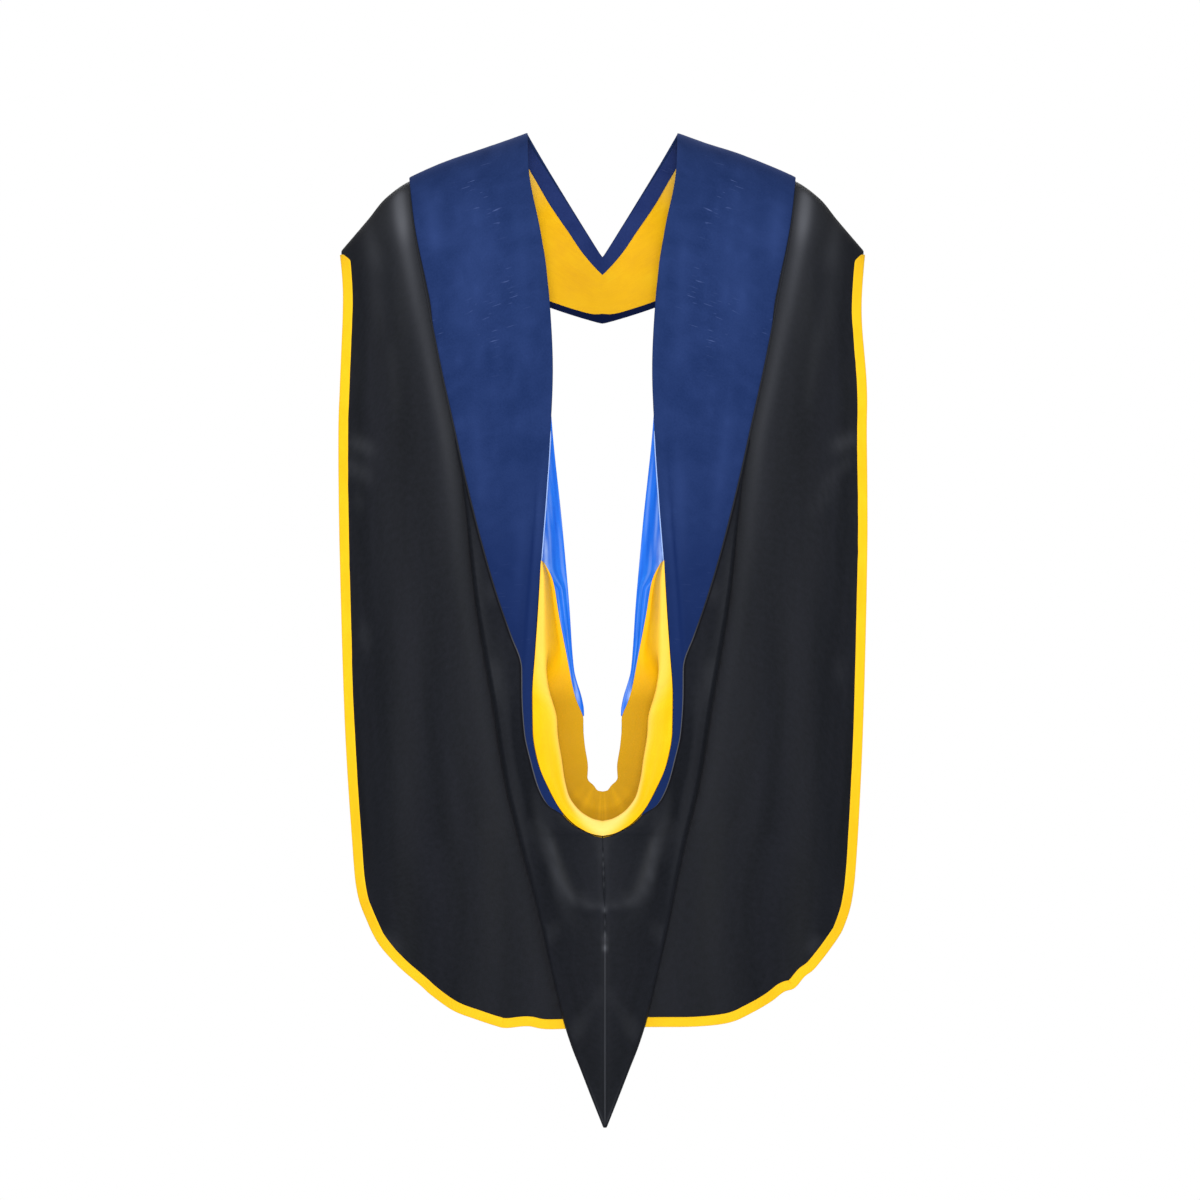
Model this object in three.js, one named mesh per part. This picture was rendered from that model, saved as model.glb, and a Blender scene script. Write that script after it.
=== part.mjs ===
// Academic hood in millimetres, +Z up. The wearer's back is at -Y, and the chest at +Y.
// The origin lies midway between the two neck points, where the hood sits on its wearer's neck.
// A place on the cloth is given by its half width from the centre line and its drop below the neck points.
import * as THREE from 'three';

// Driving dimensions
const BACK_LENGTH = 1120;
const NECK_HALF = 84.5;
const VELVET_SHOULDER_HALF = 218.6;
const VELVET_SHOULDER_DROP = 55.8;
const NECK_RIDGE_DROP = 6.2;
const RIDGE_SLOPE = (VELVET_SHOULDER_DROP - NECK_RIDGE_DROP) / (VELVET_SHOULDER_HALF - NECK_HALF);
const CAPE_FRONT_INNER_HALF = 66;
const CAPE_FRONT_INNER_DROP = 186;
const CAPE_FRONT_OUTER_HALF = 76;
const CAPE_FRONT_OUTER_DROP = 194;
const V_TIP_DROP = 137;
const FRONT_LOW_DROP = 213;
const FRONT_TURN_HALF = 200;
const FRONT_TURN_DROP = 151;
const SLIT_FOOT_DROP = 741;
const RIM_FOOT_DROP = 791;
const SEAM_FOOT_DROP = 764;
const FOLD_TOP_DROP = 345;
const TAIL_LEAN = 2.8;
const TAIL_LEAN_DROPS = [780, 900];
const NECKBAND_START = 0.38;
const CHEVRON_TURN_UP = 22;
const PIPING_WIDTH = 11.5;
const PIPING_START = 8;
const PIPING_START_WIDTH = 4;
const CLOTH_GAP = 0.3;
const LAYER_GAP = 0.8;
const CENTRE_GAP = 0.2;
const BLACK_THICKNESS = 1.5;
const LINING_THICKNESS = 1.5;
const VELVET_THICKNESS = 2;
const PIPING_THICKNESS = 2.6;

// The form below the cloth: how far it stands back and forward of the shoulder line, and over what height
const BACK_DEPTH = 100;
const BACK_DEPTH_LOSS = 55;
const FRONT_DEPTH = 92;
const FRONT_DEPTH_LOSS = 60;
const OUTER_HALF = 295;
const ARCH_HEIGHT = 150;
const HANG_LENGTH = 850;
const HANG_OUT = 5;
const HANG_IN = 20;
const FOLD_DEPTH = 6;
const FOLD_PITCH = 92;
const FOLD_FIRST = 150;
const FOLD_START = 250;

// Layers, as heights of a cloth's body side above that form
const CAPE_LAYER = 0;
const BAG_BACK_LAYER = CAPE_LAYER + BLACK_THICKNESS + LAYER_GAP;
const LINING_LAYER = BAG_BACK_LAYER + BLACK_THICKNESS + LAYER_GAP;
const NECKBAND_LAYER = -LAYER_GAP - LINING_THICKNESS;
const PIPING_LAYER = CAPE_LAYER - (PIPING_THICKNESS - BLACK_THICKNESS) / 2;

// Steps along and across each sheet
const ARCH_STEPS = 7;
const FRONT_STEPS = 8;
const CAPE_DROP_STEPS = 15;
const CAPE_ACROSS = 10;
const VELVET_ACROSS = 4;
const BAG_FRONT_STEPS = 6;
const BAG_TURN_STEPS = 4;
const BAG_BACK_STEPS = 3;

const COLOURS = {
  navy: 0x283c6f, navyTrim: 0x1a2e63, black: 0x27292f, yellow: 0xfdd626, blue: 0x4988ec, gold: 0xf6bc11,
};

// Turns rows of numbers into named columns
function table(names, rows) {
  return Object.fromEntries(names.map((name, column) => [name, rows.map((row) => row[column])]));
}

// A smooth function through a table's points that never swings past them
function through(at, value) {
  const last = at.length - 1;
  const slope = at.slice(1).map((x, i) => (value[i + 1] - value[i]) / (x - at[i]));
  const tangent = at.map((x, i) => {
    if (i === 0) return slope[0];
    if (i === last) return slope[last - 1];
    const product = slope[i - 1] * slope[i];
    return product <= 0 ? 0 : (2 * product) / (slope[i - 1] + slope[i]);
  });
  return (x) => {
    if (x <= at[0]) return value[0] + slope[0] * (x - at[0]);
    if (x >= at[last]) return value[last] + slope[last - 1] * (x - at[last]);
    const i = at.findIndex((edge) => edge > x) - 1;
    const width = at[i + 1] - at[i];
    const t = (x - at[i]) / width;
    const rise = value[i + 1] - value[i];
    const a = width * tangent[i] - rise;
    const b = rise - width * tangent[i + 1];
    return value[i] + rise * t + t * (1 - t) * (a * (1 - t) + b * t);
  };
}

const RIDGE = table(['half', 'drop'], [
  [0, NECK_RIDGE_DROP - RIDGE_SLOPE * NECK_HALF], [NECK_HALF, NECK_RIDGE_DROP],
  [VELVET_SHOULDER_HALF, VELVET_SHOULDER_DROP], [245.6, 74.6], [264.2, 97.4], [295.2, 133.6],
]);
const RIM = table(['drop', 'half'], [
  [0, NECK_HALF], [42, 83], [115, 70], [188, 59.3], [267, 55.5], [346, 58.8], [434, 64.8], [526, 72.1],
  [585, 76.1], [631, 79.1], [673, 78.6], [703, 74.1], [730, 64.3], [752, 53.2], [772, 39.4], [784, 22.5],
  [RIM_FOOT_DROP, 0.2],
]);
const SEAM = table(['drop', 'half'], [
  [53, 218.6], [109, 211.8], [182, 197.8], [267, 180.9], [329, 167.1], [391, 153.2], [464, 134.7], [521, 117.8],
  [567, 100.8], [596, 92.4], [633, 90.4], [673, 87], [710, 79], [730, 73.5], [748, 65.8], [757, 59.5],
  [SEAM_FOOT_DROP, 49],
]);
const FOLD = table(['drop', 'half'], [
  [339, 165], [413, 155.2], [521, 144.2], [585, 134.3], [640, 124.7], [729, 110.4], [799, 93.5], [860, 78.9],
  [928, 63.7], [1001, 46.2], [1029, 37.2], [1078, 18.6], [BACK_LENGTH - 2, 3.4],
]);
const NECKLINE = table(['drop', 'half'], [
  [0, NECK_HALF], [64, 82.5], [121, 74.4], [188, 65], [267, 60.5], [332, 56.4], [442, 45.1], [532, 37.2],
  [603, 32.1], [639, 22.5], [649, 20.8], [690, 19.7], [713, 16.3], [726, 16.9], [SLIT_FOOT_DROP, 4.5],
]);
// How far the bag stands off the form, at its rim or centre and beside its fold
const STAND_OFF = table(['drop', 'rim', 'fold'], [
  [0, 4.2, 4.2], [100, 4.6, 4.2], [200, 8, 4.2], [300, 14, 4.8], [FOLD_TOP_DROP, 17, 6], [420, 24, 9],
  [520, 31, 13], [620, 38, 15], [700, 43, 15], [RIM_FOOT_DROP, 45, 14], [900, 36, 12.5], [1000, 24, 10],
  [1080, 12, 7.5], [BACK_LENGTH - 2, 6.6, 6.4],
]);
// The piped outer edge of each cape panel, from the shoulder round the corner to the centre of the hem
const EDGE = {
  left: table(['half', 'drop'], [
    [296, 137], [292.5, 188], [296, 284], [297.7, 344], [296.3, 471], [290.5, 665], [281.8, 803], [276.5, 855],
    [266, 886], [252, 913.5], [230, 938.5], [205, 960], [192, 971.5], [168, 988], [143, 997.5], [120, 1005],
    [108, 1007.3], [84, 1005.2], [60, 1008.5], [CENTRE_GAP, 1006],
  ]),
  right: table(['half', 'drop'], [
    [296, 137], [292, 202], [297.9, 284], [298, 344], [298.6, 471], [294, 665], [287, 806], [281.5, 862],
    [272.5, 893], [262, 911.5], [240, 940], [228, 949.8], [219.5, 960], [214, 964.3], [204, 967.5], [190, 978],
    [170, 989.5], [144, 1001], [108, 1005.5], [60, 1006], [CENTRE_GAP, 1006],
  ]),
};
const EDGE_CORNER_ROW = 9;
// Where each row of the gold trough starts at the slit and ends at the rim, with its lip's width and its depth
const TROUGH = table(['slitDrop', 'slitHalf', 'rimDrop', 'rimHalf', 'lip', 'depth'], [
  [489, 64.5, 487, 68, 1, 12], [504, 57.6, 500, 69.6, 3, 16], [544, 50.8, 540, 73, 5, 20],
  [585, 43, 585, 76.1, 12, 20], [633, 33.2, 631, 79.1, 26, 20], [661, 23, 673, 78.6, 33, 20],
  [690, 19.7, 710, 72.2, 29, 20], [713, 16.3, 740, 59.5, 23, 20],
  [726, 16.9, 762, 47, 19, 20], [734, 10, 780, 29, 17.5, 22], [740, 5, 789, 11, 17, 24],
  [SLIT_FOOT_DROP, 0, RIM_FOOT_DROP, 0, 17, 25],
]);
// The blue chevron: its edge at the slit is the neckline, and this is its other edge
const CHEVRON = table(['drop', 'half'], [
  [250, 80], [300, 82], [400, 85], [440, 85], [465, 81], [480, 70], [492, 61.2], [504, 56.7], [517, 53.7],
  [544, 49.9],
  [571, 45], [603, 38.2], [633, 32.3], [650, 24.5], [657, 22.8],
]);
// Shares of the front neckband's width, from its upper edge
const NECKBAND = table(['along', 'topTrim', 'bottomTrim'], [
  [0, 0.1, 0.94], [0.3, 0.115, 0.94], [0.46, 0.13, 0.94], [0.68, 0.158, 0.94], [0.85, 0.222, 0.932],
  [0.93, 0.245, 0.9], [1, 0.263, 0.838],
]);

const ridgeDrop = through(RIDGE.half, RIDGE.drop);
const rimHalf = through(RIM.drop, RIM.half);
const seamHalf = through(SEAM.drop, SEAM.half);
const foldHalf = through(FOLD.drop, FOLD.half);
const necklineHalf = through(NECKLINE.drop, NECKLINE.half);
const rimStandOff = through(STAND_OFF.drop, STAND_OFF.rim);
const foldStandOff = through(STAND_OFF.drop, STAND_OFF.fold);
const chevronHalf = through(CHEVRON.drop, CHEVRON.half);
const topTrimShare = through(NECKBAND.along, NECKBAND.topTrim);
const bottomTrimShare = through(NECKBAND.along, NECKBAND.bottomTrim);

const mix = THREE.MathUtils.lerp;
const clamp = THREE.MathUtils.clamp;
const ease = (t) => 1 - Math.cos((t * Math.PI) / 2);
const range = (count) => Array.from({ length: count + 1 }, (unused, i) => i / count);

// A point of the form at a half width and a distance below the shoulder ridge, raised along its normal.
// facing is -1 on the back and 1 on the front.
function onForm(half, below, height, facing) {
  const spread = (half / OUTER_HALF) ** 2;
  const depth = facing < 0 ? BACK_DEPTH - BACK_DEPTH_LOSS * spread : FRONT_DEPTH - FRONT_DEPTH_LOSS * spread;
  const cos = clamp(1 - below / ARCH_HEIGHT, 0, 1);
  const sin = Math.sqrt(1 - cos * cos);
  const hang = facing < 0 ? clamp((below - ARCH_HEIGHT) / HANG_LENGTH, 0, 1) : 0;
  const foldShare = clamp((below - FOLD_START) / (HANG_LENGTH - FOLD_START), 0, 1);
  const waves = facing < 0 ? foldShare * Math.cos((2 * Math.PI * (half - FOLD_FIRST)) / FOLD_PITCH) : 0;
  const out = depth * sin + hang * (HANG_OUT - HANG_IN * spread) + FOLD_DEPTH * waves * spread;
  const normal = new THREE.Vector2(ARCH_HEIGHT * sin, depth * cos).normalize();
  return new THREE.Vector3(
    half,
    facing * (out + normal.x * height),
    -(ridgeDrop(half) + below) + normal.y * height,
  );
}

const onBack = (half, below, height) => onForm(half, below, height, -1);
const onFront = (half, below, height) => onForm(half, below, height, 1);
const belowRidge = (half, drop) => Math.max(0, drop - ridgeDrop(half));

// Height of the bag's outer wall above the form
function bagHeight(half, drop) {
  const inner = drop < RIM_FOOT_DROP ? rimHalf(drop) : 0;
  const outer = drop < FOLD_TOP_DROP ? seamHalf(drop) : foldHalf(drop);
  const share = clamp((outer - half) / (outer - inner), 0, 1);
  return mix(foldStandOff(drop), rimStandOff(drop), Math.sin((share * Math.PI) / 2));
}

// A closed wall between two matching grids of points
function wall(inside, outside) {
  const rows = inside.length;
  const columns = inside[0].length;
  const points = [...inside.flat(), ...outside.flat()];
  const at = (face, i, j) => face * rows * columns + i * columns + j;
  const index = [];
  const quad = (a, b, c, d) => index.push(a, b, c, a, c, d);
  for (let i = 0; i < rows - 1; i += 1) {
    for (let j = 0; j < columns - 1; j += 1) {
      quad(at(1, i, j), at(1, i, j + 1), at(1, i + 1, j + 1), at(1, i + 1, j));
      quad(at(0, i, j), at(0, i + 1, j), at(0, i + 1, j + 1), at(0, i, j + 1));
    }
  }
  for (let i = 0; i < rows - 1; i += 1) {
    quad(at(0, i, 0), at(1, i, 0), at(1, i + 1, 0), at(0, i + 1, 0));
    quad(at(0, i, columns - 1), at(0, i + 1, columns - 1), at(1, i + 1, columns - 1), at(1, i, columns - 1));
  }
  for (let j = 0; j < columns - 1; j += 1) {
    quad(at(0, 0, j), at(0, 0, j + 1), at(1, 0, j + 1), at(1, 0, j));
    quad(at(0, rows - 1, j), at(1, rows - 1, j), at(1, rows - 1, j + 1), at(0, rows - 1, j + 1));
  }
  const volume = enclosed(points, index);
  if (volume < 0) index.reverse();
  const geometry = new THREE.BufferGeometry().setFromPoints(points);
  geometry.setIndex(index);
  geometry.computeVertexNormals();
  return geometry;
}

// Six times the volume inside a closed set of triangles, below 0 where they face in
function enclosed(points, index) {
  let sum = 0;
  for (let k = 0; k < index.length; k += 3) {
    const [a, b, c] = [0, 1, 2].map((corner) => points[index[k + corner]]);
    sum += a.dot(new THREE.Vector3().crossVectors(b, c));
  }
  return sum;
}

const mirrored = (side, point) => new THREE.Vector3(side * point.x, point.y, point.z);
// The tail hangs a little to the wearer's right of the centre line
const leanAt = (drop) => TAIL_LEAN * THREE.MathUtils.smoothstep(drop, ...TAIL_LEAN_DROPS);

// A wall whose rows are lists of places { half, below, facing, height }, height being its body side's
function sheet(side, rows, thickness) {
  const grid = (raise) => rows.map((row) => row.map((place) => (
    mirrored(side * (place.side ?? 1), onForm(place.half, place.below, place.height + raise, place.facing))
  )));
  return wall(grid(0), grid(thickness));
}

// A wall whose rows are paths across the bag: each place's height is its middle's, and the wall is
// thickened square to the path
function foldedSheet(side, rows, thickness) {
  const offsets = (row, raise) => row.map((place, i) => {
    const before = row[Math.max(0, i - 1)];
    const after = row[Math.min(row.length - 1, i + 1)];
    const along = new THREE.Vector2(after.along - before.along, after.height - before.height).normalize();
    const shift = -along.y * raise;
    const point = onBack(
      place.half + place.dirHalf * shift,
      belowRidge(place.half, place.drop + place.dirDrop * shift),
      place.height + along.x * raise,
    );
    return mirrored(side * (place.side ?? 1), point).setX(side * (place.side ?? 1) * point.x + place.lean);
  });
  return wall(
    rows.map((row) => offsets(row, -thickness / 2)),
    rows.map((row) => offsets(row, thickness / 2)),
  );
}

// Places across a row from one end to the other
function across(from, to, steps, facing, height) {
  return range(steps).map((u) => {
    const half = mix(from.half, to.half, u);
    const below = mix(from.below, to.below, u);
    return { half, below, facing, height: height(half, below) };
  });
}

const place = (half, drop) => ({ half, below: belowRidge(half, drop) });

// The front edges: the V's upper edge, the velvet's outer seam and the cape's lower edge
const vEdge = (t) => place(mix(NECK_HALF, CENTRE_GAP, t), mix(NECK_RIDGE_DROP, V_TIP_DROP, t));
const frontSeam = new THREE.QuadraticBezierCurve(
  new THREE.Vector2(VELVET_SHOULDER_HALF, VELVET_SHOULDER_DROP),
  new THREE.Vector2(FRONT_TURN_HALF, FRONT_TURN_DROP),
  new THREE.Vector2(CENTRE_GAP, FRONT_LOW_DROP),
);
function frontSeamPlace(t) {
  const point = frontSeam.getPoint(t);
  return place(point.x, point.y);
}

// Cape panel: front lower wedge, shoulder and back, out to the piping
const edgeCurves = Object.fromEntries(Object.entries(EDGE).map(([name, edge]) => (
  [name, new THREE.SplineCurve(edge.half.map((half, i) => new THREE.Vector2(half, edge.drop[i])))]
)));

// A place inside the piped edge, at a share of the curve from its start
function insideEdge(curve, share, inset) {
  const point = curve.getPoint(share);
  const tangent = curve.getTangent(share);
  return place(Math.max(CENTRE_GAP, point.x - tangent.y * inset), point.y + tangent.x * inset);
}

function pipingWidthAt(curve, share) {
  const run = curve.getPoint(share).y - curve.getPoint(0).y;
  return share > 0.2 ? PIPING_WIDTH : mix(PIPING_START_WIDTH, PIPING_WIDTH, clamp(run / PIPING_START, 0, 1));
}

// Shares of the piped edge where the cape's rows end and its hem's columns stand
const capeEdges = Object.fromEntries(Object.entries(edgeCurves).map(([name, curve]) => {
  const corner = EDGE_CORNER_ROW / (EDGE[name].half.length - 1);
  const edgeAt = (share) => insideEdge(curve, share, pipingWidthAt(curve, share) + CLOTH_GAP);
  const shareAt = (below) => {
    let [low, high] = [0, corner];
    for (let turn = 0; turn < 30; turn += 1) {
      const middle = (low + high) / 2;
      if (edgeAt(middle).below < below) low = middle;
      else high = middle;
    }
    return low;
  };
  const arch = range(ARCH_STEPS).map((w) => (w === 0 ? 0 : shareAt(ARCH_HEIGHT * ease(w))));
  const hanging = range(CAPE_DROP_STEPS).slice(1).map((w) => mix(arch[ARCH_STEPS], corner, w));
  const hem = range(CAPE_ACROSS).map((u) => mix(1, corner, u));
  return [name, { edgeAt, arch, hanging, hem }];
}));

function capePanel(name, side) {
  const { edgeAt, arch, hanging, hem } = capeEdges[name];
  const start = edgeAt(0);
  const frontRows = range(FRONT_STEPS).slice(1).reverse().map((w) => {
    const t = ease(w);
    const inner = place(
      mix(NECK_HALF + 1.5, CAPE_FRONT_INNER_HALF, t),
      mix(NECK_RIDGE_DROP, CAPE_FRONT_INNER_DROP, t),
    );
    const outer = place(
      mix(start.half, CAPE_FRONT_OUTER_HALF, t),
      mix(ridgeDrop(start.half), CAPE_FRONT_OUTER_DROP, t),
    );
    return across(inner, outer, CAPE_ACROSS, 1, () => CAPE_LAYER);
  });
  const archRows = arch.map((share, i) => {
    const below = ARCH_HEIGHT * ease(i / ARCH_STEPS);
    const inner = { half: necklineHalf(NECK_RIDGE_DROP + below) + 1, below };
    return across(inner, { half: edgeAt(share).half, below }, CAPE_ACROSS, -1, () => CAPE_LAYER);
  });
  const archFoot = ARCH_HEIGHT + ridgeDrop(necklineHalf(ARCH_HEIGHT));
  const hemInner = edgeAt(1);
  const hemOuter = edgeAt(hem[CAPE_ACROSS]);
  const hangingRows = hanging.map((share, i) => {
    const w = (i + 1) / CAPE_DROP_STEPS;
    const drop = mix(archFoot, ridgeDrop(0) + hemInner.below, w);
    const seam = drop < SLIT_FOOT_DROP ? place(necklineHalf(drop) + 1, drop) : place(CENTRE_GAP, drop);
    const inner = w === 1 ? hemInner : seam;
    const outer = edgeAt(share);
    return hem.map((hemShare, j) => {
      const u = j / CAPE_ACROSS;
      const hemPlace = edgeAt(hemShare);
      const bend = w ** 3;
      return {
        half: mix(inner.half, outer.half, u) + bend * (hemPlace.half - mix(hemInner.half, hemOuter.half, u)),
        below: mix(inner.below, outer.below, u)
          + bend * (hemPlace.below - mix(hemInner.below, hemOuter.below, u)),
        facing: -1,
        height: CAPE_LAYER,
      };
    });
  });
  return sheet(side, [...frontRows, ...archRows, ...hangingRows], BLACK_THICKNESS);
}

// Flat band outside the cape's edge, tapering where it starts at the shoulder
function edgePiping(name, side) {
  const curve = edgeCurves[name];
  const { arch, hanging, hem } = capeEdges[name];
  const shares = [...arch, ...hanging, ...[...hem].reverse().slice(1)];
  const rows = shares.map((share) => {
    const inner = insideEdge(curve, share, pipingWidthAt(curve, share));
    return across(inner, insideEdge(curve, share, 0), 1, -1, () => PIPING_LAYER);
  });
  return sheet(side, rows, PIPING_THICKNESS);
}

// Velvet facing: from the foot of the U up the back, over the shoulder and down to the front centre
const VELVET_ROWS = table(['rimDrop', 'seamDrop'], [
  [226, 262], [309, 329], [379, 391], [434, 442], [482, 486], [526, 526], [560, 567], [590, 596], [631, 633],
  [673, 673],
  [703, 710], [730, 738], [748, 753], [758, 763],
]);

function velvetFacing(side) {
  const overForm = (half, below) => bagHeight(half, below + ridgeDrop(half));
  const front = range(FRONT_STEPS).slice(1).reverse().map((w) => (
    across(vEdge(ease(w)), frontSeamPlace(ease(w)), VELVET_ACROSS, 1, () => rimStandOff(0))
  ));
  const arch = range(ARCH_STEPS).map((w) => {
    const below = ARCH_HEIGHT * ease(w);
    const inner = { half: rimHalf(below + NECK_RIDGE_DROP), below };
    const outer = { half: seamHalf(below + VELVET_SHOULDER_DROP), below };
    return across(inner, outer, VELVET_ACROSS, -1, overForm);
  });
  const hanging = VELVET_ROWS.rimDrop.map((rimDrop, i) => {
    const seamDrop = VELVET_ROWS.seamDrop[i];
    const inner = place(rimHalf(rimDrop), rimDrop);
    return across(inner, place(seamHalf(seamDrop), seamDrop), VELVET_ACROSS, -1, overForm);
  });
  return sheet(side, [...front, ...arch, ...hanging], VELVET_THICKNESS);
}

// Cowl shell: the bag's outer wall from the velvet's seam to the fold, round it and back along the cape
const SHELL_DROPS = [
  391, 442, 486, 526, 567, 596, 633, 673, 710, 738, 753, 763, 778, 786, 793, 830, 870, 920, 970, 1015, 1055, 1090,
  1112,
];
const BACK_WALL_END = table(['drop', 'half'], [
  [345, 140], [450, 122], [560, 100], [650, 82], [740, 50], [793, CENTRE_GAP], [BACK_LENGTH, CENTRE_GAP],
]);
const backWallEnd = through(BACK_WALL_END.drop, BACK_WALL_END.half);

function shellRow(drop) {
  const start = (drop < SEAM_FOOT_DROP ? seamHalf(drop) : rimHalf(drop)) + LAYER_GAP;
  const first = drop < RIM_FOOT_DROP ? start : CENTRE_GAP;
  const lift = BLACK_THICKNESS / 2;
  const low = BAG_BACK_LAYER + lift;
  const high = foldStandOff(drop) + lift;
  const radius = (high - low) / 2;
  const turnHalf = foldHalf(drop) - lift - radius;
  const path = range(BAG_FRONT_STEPS).map((u) => {
    const half = mix(first, turnHalf, u);
    return { half, height: bagHeight(half, drop) + lift };
  });
  const rise = path[BAG_FRONT_STEPS].height - high;
  range(BAG_TURN_STEPS).slice(1).forEach((u) => {
    const angle = u * Math.PI;
    const half = turnHalf + radius * Math.sin(angle);
    path.push({ half, height: low + radius + (radius + (1 - u) * rise) * Math.cos(angle) });
  });
  range(BAG_BACK_STEPS).slice(1).forEach((u) => {
    path.push({ half: mix(turnHalf, Math.min(backWallEnd(drop), turnHalf - 1), u), height: low });
  });
  const lean = leanAt(drop);
  return path.map((point) => ({ ...point, along: point.half, drop, dirHalf: 1, dirDrop: 0, lean }));
}

function cowlShell(side) {
  return foldedSheet(side, SHELL_DROPS.map(shellRow), BLACK_THICKNESS);
}

// Gold lining: a trough from the slit's edge down into the bag and back up over its rolled lip to the rim
function troughRow(i, side) {
  const slit = new THREE.Vector2(TROUGH.slitHalf[i], TROUGH.slitDrop[i]);
  const rim = new THREE.Vector2(TROUGH.rimHalf[i], TROUGH.rimDrop[i]);
  const direction = rim.clone().sub(slit);
  const width = direction.length();
  direction.divideScalar(width);
  const top = rimStandOff(rim.y) + LINING_THICKNESS / 2 + 0.2;
  const low = LINING_LAYER + LINING_THICKNESS / 2;
  const lip = TROUGH.lip[i];
  const depth = TROUGH.depth[i];
  const roll = Math.min(8, 1.5 + lip / 3);
  const profile = [
    [0, low], [width * 0.35, low], [width * 0.7, low],
    [width + depth * 0.3, low + 0.5], [width + depth * 0.85, low + top * 0.12],
    [width + depth, mix(low, top, 0.4)], [width + depth * 0.7, mix(low, top, 0.62)],
    [width - lip * 0.3, top - roll - 2.5], [width - lip + roll * 0.3, top - roll - 1],
    [width - lip - 1, top - roll * 0.6],
    [width - lip + roll * 0.3, top - roll * 0.15], [width - lip * 0.45, top + 1.5], [width - 1.2, top],
  ];
  return profile.map(([along, height]) => ({
    along,
    height,
    half: Math.max(0, slit.x + direction.x * along),
    drop: slit.y + direction.y * along,
    dirHalf: direction.x,
    dirDrop: direction.y,
    lean: 0,
    side,
  }));
}

function liningGold() {
  const last = TROUGH.lip.length - 1;
  const half = range(last).map((share) => Math.round(share * last));
  const rows = [...half.map((i) => troughRow(i, -1)), ...half.reverse().slice(1).map((i) => troughRow(i, 1))];
  return foldedSheet(1, rows, LINING_THICKNESS);
}

// Blue lining: the chevron beside the slit, whose hidden edge turns up below the velvet
const CHEVRON_DROPS = [250, 300, 350, 400, 440, 465, 480, 492, 504, 520, 544, 575, 603, 625, 640, 650, 656];

function liningBlue(side) {
  const rows = CHEVRON_DROPS.map((drop) => {
    const rise = Math.max(0, bagHeight(rimHalf(drop) + 20, drop) - 3 - LINING_LAYER);
    const turnUp = (half) => rise * clamp((half - rimHalf(drop) - 2) / CHEVRON_TURN_UP, 0, 1) ** 2;
    const inner = place(necklineHalf(drop), drop);
    return across(inner, place(chevronHalf(drop), drop), 4, -1, (half) => LINING_LAYER + turnUp(half));
  });
  return sheet(side, rows, LINING_THICKNESS);
}

// Neckband: three strips side by side on the body side of the front velvet, from shoulder to shoulder
function neckbandStrip(fromShare, toShare, steps) {
  const rowAt = (t, side) => {
    const upper = vEdge(t);
    const lower = frontSeamPlace(t);
    const at = (share) => ({
      half: mix(upper.half, lower.half, share),
      below: mix(upper.below, lower.below, share),
    });
    return across(at(fromShare(t)), at(toShare(t)), steps, 1, () => NECKBAND_LAYER).map((p) => (
      { ...p, half: t === 1 ? 0 : p.half, side }
    ));
  };
  const turns = range(FRONT_STEPS + 1).map((w) => ease(mix(NECKBAND_START, 1, w)));
  const rows = [...turns.map((t) => rowAt(t, -1)), ...turns.reverse().slice(1).map((t) => rowAt(t, 1))];
  return sheet(1, rows, LINING_THICKNESS);
}

const NECKBAND_EDGE = 0.012;
const NECKBAND_GAP = 0.004;
const neckbandPieces = {
  neckband_top_trim: [() => NECKBAND_EDGE, (t) => topTrimShare(t) - NECKBAND_GAP, 1, COLOURS.navyTrim],
  neckband_lining: [topTrimShare, bottomTrimShare, 3, COLOURS.gold],
  neckband_bottom_trim: [
    (t) => bottomTrimShare(t) + NECKBAND_GAP, () => 1 - NECKBAND_EDGE, 1, COLOURS.navyTrim,
  ],
};

const hood = new THREE.Group();

function add(name, geometry, color, roughness) {
  const material = new THREE.MeshStandardMaterial({ color, roughness, metalness: 0 });
  const mesh = new THREE.Mesh(geometry, material);
  mesh.name = name;
  hood.add(mesh);
}

for (const [name, side] of [['left', -1], ['right', 1]]) {
  add(`${name}_cape_panel`, capePanel(name, side), COLOURS.black, 0.6);
  add(`${name}_edge_piping`, edgePiping(name, side), COLOURS.yellow, 0.6);
  add(`${name}_velvet_facing`, velvetFacing(side), COLOURS.navy, 0.95);
  add(`${name}_cowl_shell`, cowlShell(side), COLOURS.black, 0.6);
  add(`${name}_lining_blue`, liningBlue(side), COLOURS.blue, 0.4);
}
add('lining_gold', liningGold(), COLOURS.gold, 0.4);
for (const [name, [from, to, steps, color]] of Object.entries(neckbandPieces)) {
  add(name, neckbandStrip(from, to, steps), color, 0.7);
}

export default hood;
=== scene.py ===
# %% [markdown]
# An academic hood, worn, seen from its wearer's back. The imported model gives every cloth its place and
# size. Here each cloth is made again as a fine sheet in the same place, with its folds, seams and finish.

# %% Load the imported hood
import math

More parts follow.
